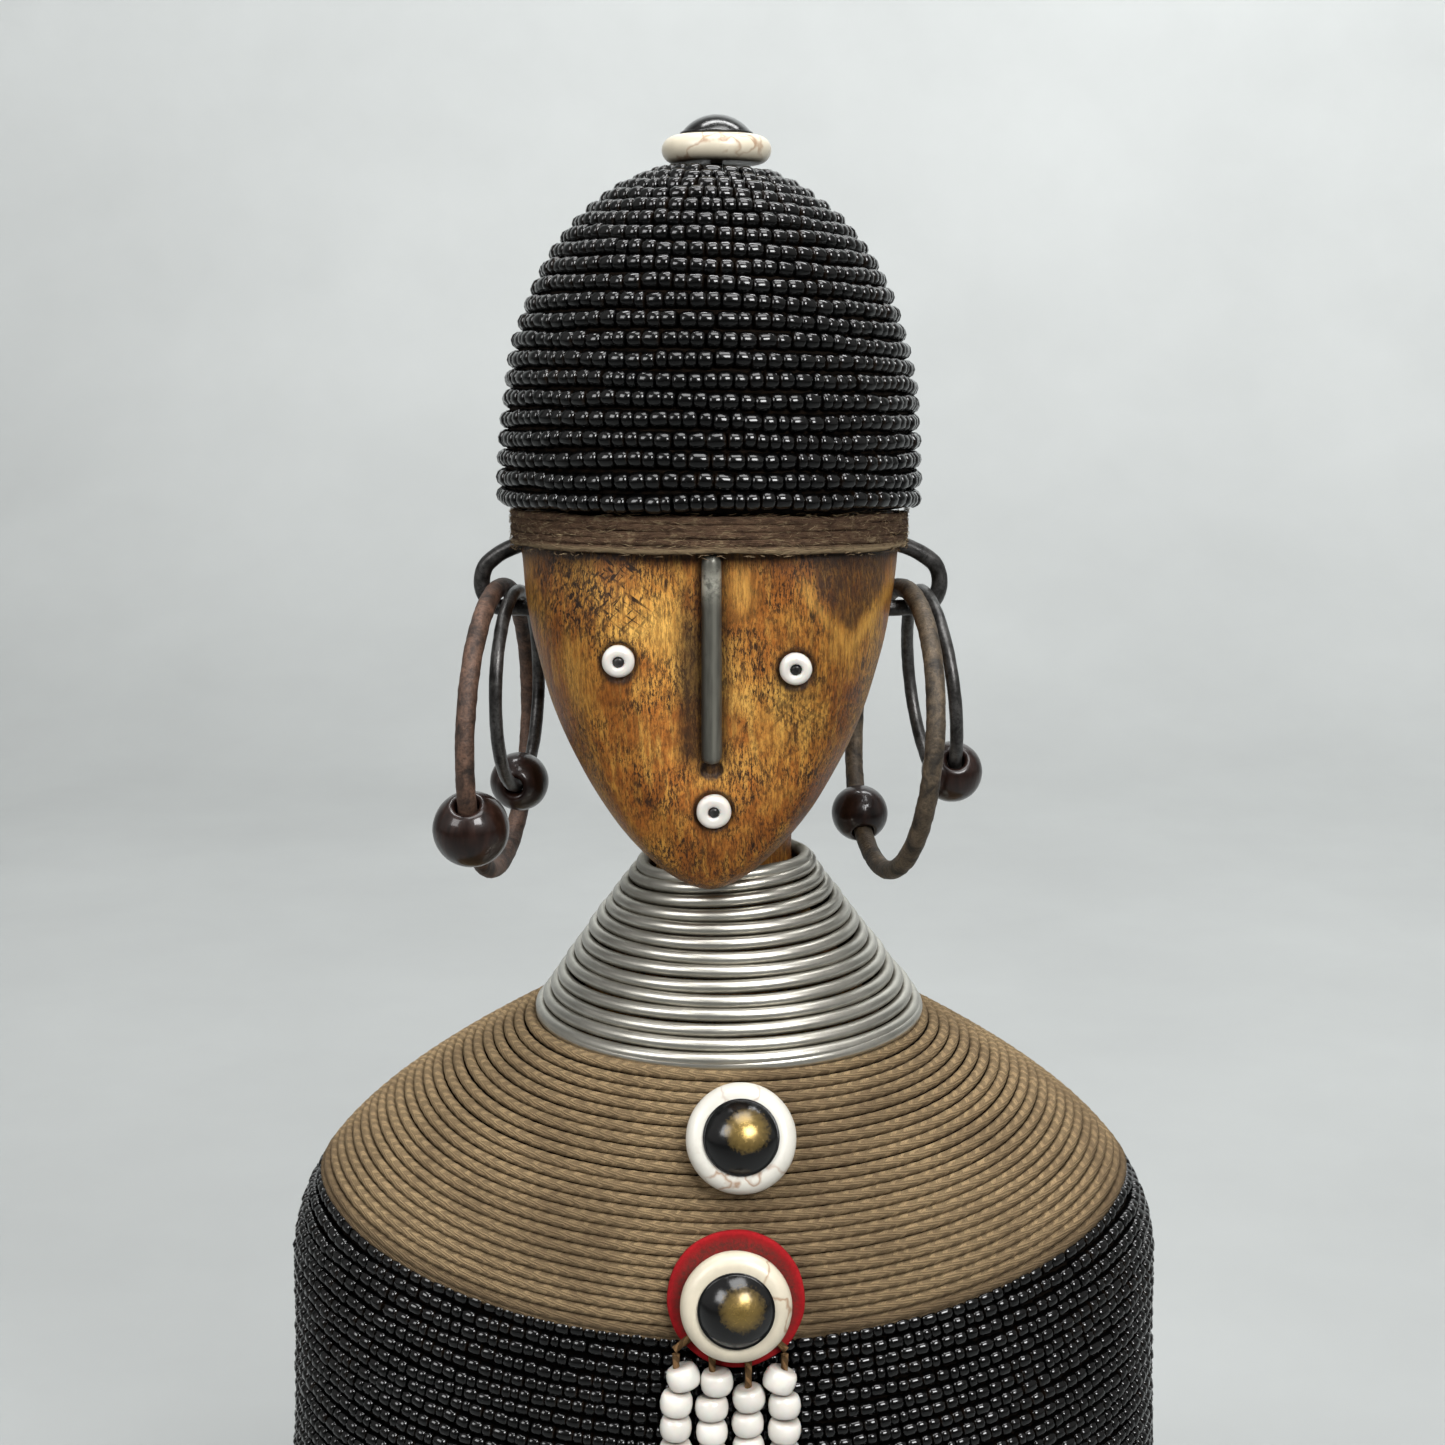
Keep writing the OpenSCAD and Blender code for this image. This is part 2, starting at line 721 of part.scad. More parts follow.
module string_glass(i) {
    color("#f1eee6")
        at_string(i)
            for (k = [0:string_beads[i - 1] - 1])
                translate([0, 0, -string_drop[i - 1] - (k + 0.5)*string_bead_l])
                    rotate_extrude()
                        difference() {
                            intersection() {
                                translate([string_bead_d/2 - 0.55*string_bead_l, 0])
                                    circle(d = 1.1*string_bead_l, $fn = 32);
                                translate([0, -string_bead_l/2 + 0.02])
                                    square([string_bead_d, string_bead_l - 0.04]);
                            }
                            translate([-1, -string_bead_l])
                                square([1 + string_cord_d/2 + fit, 2*string_bead_l]);
                        }
}

carved_figure();
cap_beads();
cap_cord_band();
crown_disc();
crown_nail();
nose_bar();
face_bead(0);  // left_eye_bead
face_bead(1);  // right_eye_bead
face_bead(2);  // mouth_bead
face_pin(0);  // left_eye_pin
face_pin(1);  // right_eye_pin
face_pin(2);  // mouth_pin
ear_loop(-1);  // left_ear_loop
ear_loop(1);  // right_ear_loop
ear_ring(0);  // left_large_ring
ear_ring(1);  // left_small_ring
ear_ring(2);  // right_large_ring
ear_ring(3);  // right_small_ring
ring_bead(0);  // left_large_bead
ring_bead(1);  // left_small_bead
ring_bead(2);  // right_large_bead
ring_bead(3);  // right_small_bead
neck_coil();
shoulder_twine();
body_beads();
upper_chest_ring();
upper_chest_nail();
red_disc();
lower_chest_ring();
lower_chest_nail();
pendant_tie();
string_cord(1);  // string_1_cord
string_glass(1);  // string_1_beads
string_cord(2);  // string_2_cord
string_glass(2);  // string_2_beads
string_cord(3);  // string_3_cord
string_glass(3);  // string_3_beads
string_cord(4);  // string_4_cord
string_glass(4);  // string_4_beads
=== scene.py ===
import math
import random

import bmesh
import bpy
import numpy as np
from bpy.props import FloatProperty, FloatVectorProperty, IntProperty, PointerProperty
from mathutils import Matrix, Vector, noise


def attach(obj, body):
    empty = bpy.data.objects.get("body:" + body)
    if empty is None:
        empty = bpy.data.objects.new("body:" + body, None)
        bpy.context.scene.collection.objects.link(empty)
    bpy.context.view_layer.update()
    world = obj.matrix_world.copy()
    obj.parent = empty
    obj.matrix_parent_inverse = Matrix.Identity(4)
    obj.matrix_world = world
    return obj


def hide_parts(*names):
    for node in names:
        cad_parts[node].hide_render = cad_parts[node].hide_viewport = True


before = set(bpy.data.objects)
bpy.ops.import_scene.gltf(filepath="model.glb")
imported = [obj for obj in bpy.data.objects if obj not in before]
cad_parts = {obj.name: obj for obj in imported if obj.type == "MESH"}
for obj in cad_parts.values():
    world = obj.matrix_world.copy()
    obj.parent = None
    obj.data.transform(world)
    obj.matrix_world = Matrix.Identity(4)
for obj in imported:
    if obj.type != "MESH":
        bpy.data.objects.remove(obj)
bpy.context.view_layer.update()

bl_info = {
    "name": "Beaded fertility doll",
    "version": (1, 0, 0),
    "blender": (4, 5, 0),
    "location": "View3D > Sidebar > Doll",
    "description": "Dresses the doll's frame with carved wood, beads, twine, wire, stone and iron",
    "category": "Add Mesh",
}

MM = 0.001
TAU = 2 * math.pi
NOISE_SEED = 1

# Body over its windings, in millimetres
HALF_W, HALF_D, NECK_R = 93.0, 57.0, 41.0
SHOULDER_Z, SHOULDER_H, SWELL, FOOT_H = 215.7, 56.0, 2.5, 8.0
BARREL_Z = SHOULDER_Z - SHOULDER_H
SIDE_POWER, FRONT_POWER = 2.28, 2.0
TWINE_SIDE, TWINE_FRONT = 0.59, 0.886

# Neck and head
NECK_TOP_R, NECK_H, NECK_SHIFT = 18.5, 34.0, 1.2
HEAD = Matrix.Translation((-3, 0, 313)) @ Matrix.Rotation(math.radians(-4), 4, "X")
FACE_R, FACE_H, FACE_Y = 38.0, 67.0, 36.5
FACE_SLOPE, CHIN_LEAN = math.radians(10), math.radians(16)
CAP_R, CAP_H, CAP_Z, BAND_R = 43.3, 69.0, 9.2, 40.5
CAP_FIRST, CAP_SPAN, CAP_GROUND = 0.02, 0.935, 2.5
BAND_TURNS, BAND_TOP, BAND_H, BAND_TWIST = 5, 8.9, 8.5, 160.0
CROWN_Z, CROWN_SHIFT = 77.3, 1.5
STAIN = ((19.5, -1.5), (36.5, -1.5), (34.3, 6.5), (27.5, 14.8), (21.0, 7.0))
NAPE_R, NAPE_LOW_R, NAPE_H = 37.5, 13.8, 47
POST_R, POST_FOOT, POST_JOIN, POST_TOP = 14.2, 212, 262, 285
EYES = {"left_eye": (-17.3, 20.0, 6.3), "right_eye": (16.8, 21.5, 6.3), "mouth": (1.0, 50.5, 6.8)}
NOSE_X, NOSE_LIFT, NOSE_D, NOSE_TOP, NOSE_END, NOSE_UNDER = 0.6, 0.6, 4.0, 0.3, 40.8, 1.9

# Chest and pendant
UPPER_X, UPPER_Z, LOWER_X, LOWER_Z = 3.3, 203.604, 2.3, 174.82
RING_D, DISC_T, DOME_D, DOME_H, SHANK_D = 21.4, 5.4, 14.8, 4.2, 2.4
RED_D, RED_T, CHEST_LIFT, TIE_GAP, FIT = 26.6, 1.6, 0.25, 2.2, 0.12
SWING_Y, SWING_Z, STRING_LEAN = -60.312, 165.14, math.radians(1.964)
STRING_X = (-9.225, -2.275, 4.675, 11.625)
STRING_DROP, STRING_COUNT = (2.4, 3.3, 6.6, 2.9), (11, 12, 12, 11)
STRING_BEAD_L, CORD_D = 5.0, 1.4
PENDANT_LAY = {"plies": 2.0, "twist": 330.0, "relief": 0.1}
FIRST_SHIFT, FIRST_TILT = (1.4, 0.9, 0.0, -1.0), (-0.38, 0.1, -0.05, 0.3)

# Ears: large and small ring of the left ear, then of the right
EAR_X, LOOP_Z, LOOP_R, LOOP_D, EAR_TURN = 37.6, 306.1, 5.2, 3.2, math.radians(12)
RINGS = ("left_large", "left_small", "right_large", "right_small")
RING_OUT, RING_R = (5.9, 2.15, 2.75, 6.5), (29.35, 20.15, 29.35, 20.15)
WIRE_D, RING_BEAD_D = (3.9, 2.7, 3.9, 2.7), (15.4, 12.2, 12.2, 12.4)
RING_BEAD_AT, RING_LEAN, RING_TURN, PLAY = (57, 0, -40, 38), (1, 0, -4.5, 6), (4, 4, 0, 3), 0.35

# Bead rows: lead before the first row, place of the climb at the back, and how deep bead centres lie
ROW_LEAD, ROW_START, CLIMB_FROM, CLIMB, BEAD_SINK = 0.07, 0.42, 0.84, 0.16, 0.52

# Hidden turns before the first and after the last turn, and how far they sink in a turn
TWINE_TUCK, TUCK_DEPTH, WIRE_LEAD, WIRE_DROP = 0.9, 1.1, 0.95, 1.2

# Stage, in metres and degrees
LENS, CAMERA_AT, CAMERA_DOWN = 59.8, (-0.0003, -0.4892, 0.3732), 11.14
SKY_GAIN, SKY_LEAST = 0.32, 0.035


# Shape rules

def unit(values):
    """Values kept between 0 and 1."""
    return np.clip(values, 0, 1)


def round_turn(count):
    """Angles spaced evenly over one turn."""
    return np.linspace(0, TAU, count, endpoint=False)


def spin(degrees, axis):
    return Matrix.Rotation(math.radians(degrees), 4, axis)


def raised(height):
    return Matrix.Translation((0, 0, height))


def rise(z):
    return np.maximum(0, (z - BARREL_Z) / SHOULDER_H)


def swell(z):
    return np.where(z >= BARREL_Z, 0, SWELL * (1 - np.cos(TAU * (BARREL_Z - z) / BARREL_Z)) / 2)


def wide(z):
    return NECK_R + (HALF_W - NECK_R) * (1 - rise(z) ** SIDE_POWER) + swell(z)


def deep(z):
    return NECK_R + (HALF_D - NECK_R) * (1 - rise(z) ** FRONT_POWER) + swell(z)


def slope(profile, z):
    return (profile(z + 0.05) - profile(z - 0.05)) / 0.1


def body_point(z, turn, depth):
    """Points on the body at heights and angles from the front, some depth under the surface."""
    z, turn = np.asarray(z, float), np.asarray(turn, float)
    a, b, s, c = wide(z), deep(z), np.sin(turn), np.cos(turn)
    out = np.stack([s / a, -c / b, -s * s * slope(wide, z) / a - c * c * slope(deep, z) / b], -1)
    out /= np.linalg.norm(out, axis=-1, keepdims=True)
    return np.stack([a * s, -b * c, z], -1) - out * np.asarray(depth, float)[..., None]


def heights_by_run(profile, share):
    """Heights from the shoulder down, spaced evenly along the surface."""
    z = np.linspace(SHOULDER_Z, SHOULDER_Z - share * SHOULDER_H, 200)
    run = np.concatenate([[0], np.cumsum(np.hypot(np.diff(z), np.diff(profile(z))))])
    return run / run[-1], z


SIDE_RUN, FRONT_RUN = heights_by_run(wide, TWINE_SIDE), heights_by_run(deep, TWINE_FRONT)


def row_z(v, turn):
    """Height of a twine row (0 to 1) or a bead row (1 to 2) at an angle."""
    side, front = np.interp(unit(v), *SIDE_RUN), np.interp(unit(v), *FRONT_RUN)
    z = side + (front - side) * np.cos(turn) ** 2
    return np.where(v <= 1, z, z + (FOOT_H - z) * (np.maximum(v, 1) - 1))


def cap_rule():
    s = 0.995 * np.sin(np.linspace(0, np.pi / 2, 200))
    r = CAP_R * np.sqrt(1 - s ** 2.7)
    run = np.concatenate([[0], np.cumsum(np.hypot(np.diff(r), CAP_H * np.diff(s)))])
    return run, s, r


CAP_RUN, CAP_S, CAP_OUT = cap_rule()


def cap_point(v, turn, depth):
    """Points on the cap, v 0 at its rim and 1 at its top, leaning to one side as it rises."""
    d = np.asarray(v, float) * CAP_RUN[-1]
    s, r = np.interp(d, CAP_RUN, CAP_S), np.interp(d, CAP_RUN, CAP_OUT)
    ahead, behind = d + 0.4, d - 0.4
    dr = np.interp(ahead, CAP_RUN, CAP_OUT) - np.interp(behind, CAP_RUN, CAP_OUT)
    dz = CAP_H * (np.interp(ahead, CAP_RUN, CAP_S) - np.interp(behind, CAP_RUN, CAP_S))
    n = np.hypot(dr, dz)
    r, z = r - dz / n * depth, CAP_Z + CAP_H * s + dr / n * depth
    x, y = r * np.sin(turn), -r * np.cos(turn)
    return np.stack([x + CROWN_SHIFT * s ** 1.5, y, z - 0.05 * x * s], -1)


def smooth_max(a, b, k):
    return 0.5 * (a + b + np.sqrt((a - b) ** 2 + k * k))


def smooth_min(a, b, k):
    return 0.5 * (a + b - np.sqrt((a - b) ** 2 + k * k))


def moved(points, matrix):
    """Points carried by a 4 by 4 matrix."""
    m = np.array(matrix)
    return np.asarray(points, float) @ m[:3, :3].T + m[:3, 3]


def on_face(x, down):
    place = (x, -FACE_Y + down * math.sin(FACE_SLOPE), -down * math.cos(FACE_SLOPE))
    return HEAD @ Matrix.Translation(place) @ Matrix.Rotation(math.radians(90) + FACE_SLOPE, 4, "X")


def on_chest(x, z):
    spot = body_point(z, math.asin(x / float(wide(np.array(z)))), 0)
    tip = math.atan(float(slope(deep, np.array(z))))
    return Matrix.Translation(spot) @ Matrix.Rotation(math.radians(90) + tip, 4, "X")


def at_ear(side):
    mirror = Matrix.Diagonal((-1 if side > 0 else 1, 1, 1, 1))
    return (Matrix.Translation((-3, 0, LOOP_Z)) @ mirror @ Matrix.Translation((-EAR_X, 0, 0))
            @ Matrix.Rotation(-EAR_TURN, 4, "Z"))


def at_ring(i):
    lean = spin(RING_TURN[i], "Z") @ spin(RING_LEAN[i], "Y")
    top = Matrix.Translation((-RING_OUT[i], 0, -LOOP_R + (WIRE_D[i] + LOOP_D) / 2 + PLAY))
    return at_ear(-1 if i < 2 else 1) @ top @ lean @ raised(-RING_R[i])


def at_string(i):
    return Matrix.Translation((STRING_X[i], SWING_Y, SWING_Z)) @ Matrix.Rotation(-STRING_LEAN, 4, "X")


# Meshes

def new_piece(name, points, faces, material, marks=None):
    """A smooth piece from points in millimetres, with its normals turned outwards."""
    mesh = bpy.data.meshes.new(name)
    mesh.from_pydata((np.asarray(points, float) * MM).tolist(), [], faces)
    for label, values in (marks or {}).items():
        layer = mesh.attributes.new(label, "FLOAT", "POINT")
        layer.data.foreach_set("value", np.asarray(values, np.float32))
    bm = bmesh.new()
    bm.from_mesh(mesh)
    bmesh.ops.recalc_face_normals(bm, faces=bm.faces)
    bm.to_mesh(mesh)
    bm.free()
    mesh.polygons.foreach_set("use_smooth", [True] * len(mesh.polygons))
    mesh.materials.append(material)
    piece = bpy.data.objects.new(name, mesh)
    bpy.context.scene.collection.objects.link(piece)
    return piece


def turned(profile, sides):
    """Points and faces of a turned shape from (radius, height) pairs; a radius of 0 is a pole."""
    points, faces, rows = [], [], []
    for r, h in profile:
        if r < 1e-6:
            rows.append([len(points)])
            points.append((0, 0, h))
        else:
            rows.append(list(range(len(points), len(points) + sides)))
            points += [(r * math.cos(TAU * k / sides), r * math.sin(TAU * k / sides), h)
                       for k in range(sides)]
    for low, high in zip(rows, rows[1:]):
        for k in range(sides):
            a, b = low[k % len(low)], low[(k + 1) % len(low)]
            c, d = high[(k + 1) % len(high)], high[k % len(high)]
            faces.append([v for i, v in enumerate((a, b, c, d)) if v not in (a, b, c, d)[:i]])
    return np.array(points, float), [f for f in faces if len(f) > 2]


def ring_turned(profile, sides):
    """A turned shape round an open hole: the profile closes on itself."""
    points, faces = turned(list(profile) + [profile[0]], sides)
    n = len(profile) * sides
    return points[:n], [[v % n for v in f] for f in faces]


def arc(r, x, h, start, end, steps):
    """(radius, height) pairs on an arc of radius r about (x, h), angles in degrees from outwards."""
    turns = [math.radians(start + (end - start) * k / steps) for k in range(steps + 1)]
    return [(max(0.0, x + r * math.cos(t)), h + r * math.sin(t)) for t in turns]


def rough(points, amount, size, seed):
    """Moves points by smooth noise, the same in each run."""
    noise.seed_set(NOISE_SEED)
    shift = [noise.noise_vector(Vector(p) / size + Vector((seed, seed, seed))) for p in points]
    return points + amount * np.array(shift)


# Nodes

class Nodes:
    """Adds nodes to a tree and links or sets their inputs."""

    def __init__(self, tree):
        self.tree = tree

    def fill(self, socket, value):
        if isinstance(value, bpy.types.NodeSocket):
            self.tree.links.new(value, socket)
        else:
            socket.default_value = (*value, 1.0) if socket.type == "RGBA" and len(value) == 3 else value

    def add(self, kind, values=None, **settings):
        node = self.tree.nodes.new(kind)
        for label, value in settings.items():
            setattr(node, label, value)
        for label, value in (values or {}).items():
            if value is not None:
                self.fill(node.inputs[label], value)
        return node

    def math(self, operation, a, b=0.0, c=None, clamp=False):
        node = self.add("ShaderNodeMath", {0: a, 1: b, 2: c}, operation=operation, use_clamp=clamp)
        return node.outputs[0]

    def plus(self, a, b):
        return self.math("ADD", a, b)

    def times(self, a, b):
        return self.math("MULTIPLY", a, b)


class Growth(Nodes):
    """A Geometry Nodes tree with named inputs, ended in Realize Instances and Set Material."""

    def __init__(self, name, inputs):
        super().__init__(bpy.data.node_groups.new(name, "GeometryNodeTree"))
        sockets = self.tree.interface
        sockets.new_socket("Geometry", in_out="INPUT", socket_type="NodeSocketGeometry")
        for label, kind in {**inputs, "Material": "Material"}.items():
            sockets.new_socket(label, in_out="INPUT", socket_type="NodeSocket" + kind)
        sockets.new_socket("Geometry", in_out="OUTPUT", socket_type="NodeSocketGeometry")
        self.inputs = self.tree.nodes.new("NodeGroupInput").outputs
        self.end = self.tree.nodes.new("NodeGroupOutput")

    def named(self, label, kind="FLOAT"):
        node = self.add("GeometryNodeInputNamedAttribute", {"Name": label}, data_type=kind)
        return node.outputs["Attribute"]

    def store(self, geometry, label, value, domain="POINT"):
        values = {"Geometry": geometry, "Name": label, "Value": value}
        node = self.add("GeometryNodeStoreNamedAttribute", values, data_type="FLOAT", domain=domain)
        return node.outputs[0]

    def close(self, geometry):
        smooth = self.add("GeometryNodeSetShadeSmooth", {"Geometry": geometry})
        real = self.add("GeometryNodeRealizeInstances", {"Geometry": smooth.outputs[0]})
        painted = self.add("GeometryNodeSetMaterial",
                           {"Geometry": real.outputs[0], "Material": self.inputs["Material"]})
        self.tree.links.new(painted.outputs[0], self.end.inputs[0])


def strung_beads_tree():
    """Beads on the path's points, each turned along the string and a little askew."""
    g = Growth("strung_beads", {"Bead": "Object", "Tilt": "Float", "Seed": "Int"})
    bead = g.add("GeometryNodeObjectInfo", {"Object": g.inputs["Bead"]}).outputs["Geometry"]
    along = g.add("FunctionNodeAlignRotationToVector", {"Vector": g.named("run", "FLOAT_VECTOR")}, axis="Z")
    low, high = (dict.fromkeys(range(3), g.times(g.inputs["Tilt"], sign)) for sign in (-1.0, 1.0))
    askew = g.add("FunctionNodeRandomValue", {
        0: g.add("ShaderNodeCombineXYZ", low).outputs[0],
        1: g.add("ShaderNodeCombineXYZ", high).outputs[0],
        "Seed": g.inputs["Seed"]}, data_type="FLOAT_VECTOR").outputs[0]
    lean = g.add("FunctionNodeEulerToRotation", {"Euler": askew}).outputs[0]
    turn = g.add("FunctionNodeRotateRotation", {"Rotation": along.outputs[0], "Rotate By": lean},
                 rotation_space="LOCAL").outputs[0]
    placed = g.add("GeometryNodeInstanceOnPoints", {
        "Points": g.inputs["Geometry"], "Instance": bead, "Rotation": turn,
        "Scale": g.named("size", "FLOAT_VECTOR")}).outputs[0]
    tone = g.add("FunctionNodeRandomValue", {"Seed": g.plus(g.inputs["Seed"], 7.0)}, data_type="FLOAT")
    g.close(g.store(placed, "tone", tone.outputs[1], "INSTANCE"))
    return g.tree


def strand_tree(name, normals):
    """A tube along the path: plain, dented or laid up of twisted plies."""
    g = Growth(name, {"Diameter": "Float", "Sides": "Int", "Plies": "Float", "Twist": "Float",
                      "Relief": "Float", "Dents": "Float", "Dent Size": "Float"})
    radius = g.times(g.inputs["Diameter"], 0.5)
    line = g.add("GeometryNodeMeshToCurve", {"Mesh": g.inputs["Geometry"]}).outputs[0]
    line = g.add("GeometryNodeSetCurveNormal", {"Curve": line}, mode=normals).outputs[0]
    place = g.add("GeometryNodeSplineParameter").outputs
    line = g.store(line, "along", place["Length"])
    circle = g.add("GeometryNodeCurvePrimitiveCircle", {"Resolution": g.inputs["Sides"], "Radius": radius})
    circle = g.store(circle.outputs[0], "around", g.times(place["Factor"], TAU))
    tube = g.add("GeometryNodeCurveToMesh", {"Curve": line, "Profile Curve": circle, "Fill Caps": True})
    wound = g.times(g.times(g.named("along"), g.inputs["Twist"]), TAU)
    ply = g.math("COSINE", g.plus(g.times(g.named("around"), g.inputs["Plies"]), wound))
    relief = g.times(g.times(ply, g.inputs["Relief"]), radius)
    fineness = g.math("DIVIDE", 1.0, g.inputs["Dent Size"])
    lumps = g.add("ShaderNodeTexNoise", {"Scale": fineness, "Detail": 2.0}).outputs[0]
    dents = g.times(g.math("SUBTRACT", lumps, 0.5), g.inputs["Dents"])
    push = g.add("ShaderNodeVectorMath", {0: g.add("GeometryNodeInputNormal").outputs[0],
                 "Scale": g.plus(relief, dents)}, operation="SCALE").outputs[0]
    g.close(g.add("GeometryNodeSetPosition", {"Geometry": tube.outputs[0], "Offset": push}).outputs[0])
    return g.tree


def path_mesh(name, points, closed=False, vectors=None):
    """Points in millimetres joined in a line, with vector marks for the tree."""
    n = len(points)
    edges = [(i, i + 1) for i in range(n - 1)] + ([(n - 1, 0)] if closed else [])
    mesh = bpy.data.meshes.new(name)
    mesh.from_pydata((np.asarray(points, float) * MM).tolist(), edges, [])
    for label, values in (vectors or {}).items():
        mesh.attributes.new(label, "FLOAT_VECTOR", "POINT").data.foreach_set(
            "vector", np.asarray(values, np.float32).ravel())
    return mesh


def grown(name, path, tree, **values):
    """Runs a tree on a path and keeps the result as a plain mesh."""
    piece = bpy.data.objects.new(name, path)
    bpy.context.scene.collection.objects.link(piece)
    modifier = piece.modifiers.new("growth", "NODES")
    modifier.node_group = tree
    labels = {s.name: s.identifier for s in tree.interface.items_tree if s.in_out == "INPUT"}
    for label, value in values.items():
        modifier[labels[label.replace("_", " ")]] = value
    graph = bpy.context.evaluated_depsgraph_get()
    mesh = bpy.data.meshes.new_from_object(piece.evaluated_get(graph))
    piece.modifiers.remove(modifier)
    piece.data = mesh
    mesh.name = name
    bpy.data.meshes.remove(path)
    return piece


def strand(name, points, material, diameter, sides=10, closed=False, plies=0.0, twist=0.0, relief=0.0,
           dents=0.0, dent_size=4.0, wound=False):
    """A cord or wire; one that is wound round the upright axis keeps its profile upright."""
    kind, normals = ("wound_strand", "Z_UP") if wound else ("hung_strand", "MINIMUM_TWIST")
    tree = bpy.data.node_groups.get(kind) or strand_tree(kind, normals)
    return grown(name, path_mesh(name + "_path", points, closed), tree, Diameter=diameter * MM, Sides=sides,
                 Plies=plies, Twist=twist, Relief=relief, Dents=dents * MM, Dent_Size=dent_size * MM,
                 Material=material)


def bead_shape(name, sides, profile):
    """A unit bead on Z with flat ends, marked from its middle to its ends."""
    points, faces = turned(profile, sides)
    faces.append(list(range(sides))[::-1])
    faces.append(list(range(len(points) - sides, len(points))))
    mesh = bpy.data.meshes.new(name)
    mesh.from_pydata(points.tolist(), [], faces)
    mesh.attributes.new("end", "FLOAT", "POINT").data.foreach_set(
        "value", np.abs(points[:, 2]).astype(np.float32) * 2)
    return bpy.data.objects.new(name, mesh)


SEED_BEAD = [(0.31, -0.5), (0.44, -0.44), (0.5, -0.24), (0.5, 0.24), (0.44, 0.44), (0.31, 0.5)]


def strung(name, centres, runs, sizes, material, bead, tilt, seed):
    tree = bpy.data.node_groups.get("strung_beads") or strung_beads_tree()
    path = path_mesh(name + "_path", centres, vectors={"run": runs, "size": np.asarray(sizes) * MM})
    return grown(name, path, tree, Bead=bead, Tilt=tilt, Seed=seed, Material=material)


def run_along(line):
    """Length of a line up to each of its points."""
    return np.concatenate([[0], np.cumsum(np.linalg.norm(np.diff(line, axis=0), axis=1))])


def at_run(line, run, at):
    """Points of a line at given lengths along it."""
    return np.stack([np.interp(at, run, line[:, k]) for k in range(3)], 1)


def along_line(line, lengths):
    """Centres and directions of beads of given lengths threaded along a line."""
    run = run_along(line)
    ends = np.cumsum(lengths)
    keep = ends < run[-1]
    ends, lengths = ends[keep], lengths[keep]
    at = ends - lengths / 2
    ahead = at_run(line, run, at + 1) - at_run(line, run, at - 1)
    return at_run(line, run, at), ahead / np.linalg.norm(ahead, axis=1, keepdims=True), lengths


# Materials

class Finish(Nodes):
    """One procedural material, built node by node."""

    def __init__(self, name, **settings):
        self.material = bpy.data.materials.new(name + "_finish")
        self.material.use_nodes = True
        super().__init__(self.material.node_tree)
        self.shader = self.tree.nodes["Principled BSDF"]
        for label, value in settings.items():
            self.set(label.replace("_", " "), value)

    def set(self, label, value):
        self.fill(self.shader.inputs[label], value)

    def place(self, scale=(1, 1, 1), turn=(0, 0, 0)):
        """Object coordinates, turned and then scaled."""
        coords = self.add("ShaderNodeTexCoord").outputs["Object"]
        lying = self.add("ShaderNodeMapping", {"Vector": coords, "Rotation": turn}).outputs[0]
        return self.add("ShaderNodeMapping", {"Vector": lying, "Scale": scale}).outputs[0]

    def noise(self, vector, scale, detail=3.0, roughness=0.55, distortion=0.0):
        return self.add("ShaderNodeTexNoise", {"Vector": vector, "Scale": scale, "Detail": detail,
                        "Roughness": roughness, "Distortion": distortion}).outputs[0]

    def ramp(self, fac, stops):
        node = self.add("ShaderNodeValToRGB", {"Fac": fac})
        band = node.color_ramp
        while len(band.elements) < len(stops):
            band.elements.new(0.5)
        for element, (at, colour) in zip(band.elements, stops):
            element.position = at
            element.color = (*colour, 1.0) if hasattr(colour, "__len__") else (colour, colour, colour, 1.0)
        return node.outputs[0]

    def mix(self, fac, a, b, blend="MIX"):
        return self.add("ShaderNodeMix", {0: fac, 6: a, 7: b}, data_type="RGBA", blend_type=blend).outputs[2]

    def remap(self, value, low, high, first, last):
        """A value carried from one range into another."""
        return self.add("ShaderNodeMapRange", {"Value": value, "From Min": low, "From Max": high,
                        "To Min": first, "To Max": last}).outputs[0]

    def mark(self, label):
        return self.add("ShaderNodeAttribute", attribute_name=label).outputs["Fac"]

    def bump(self, height, distance, strength):
        values = {"Height": height, "Distance": distance, "Strength": strength}
        return self.add("ShaderNodeBump", values).outputs[0]


def colours():
    return bpy.context.scene.doll_colours


def sizes():
    return bpy.context.scene.doll_sizes


def shade(colour, factor):
    return tuple(c * factor for c in colour[:3])


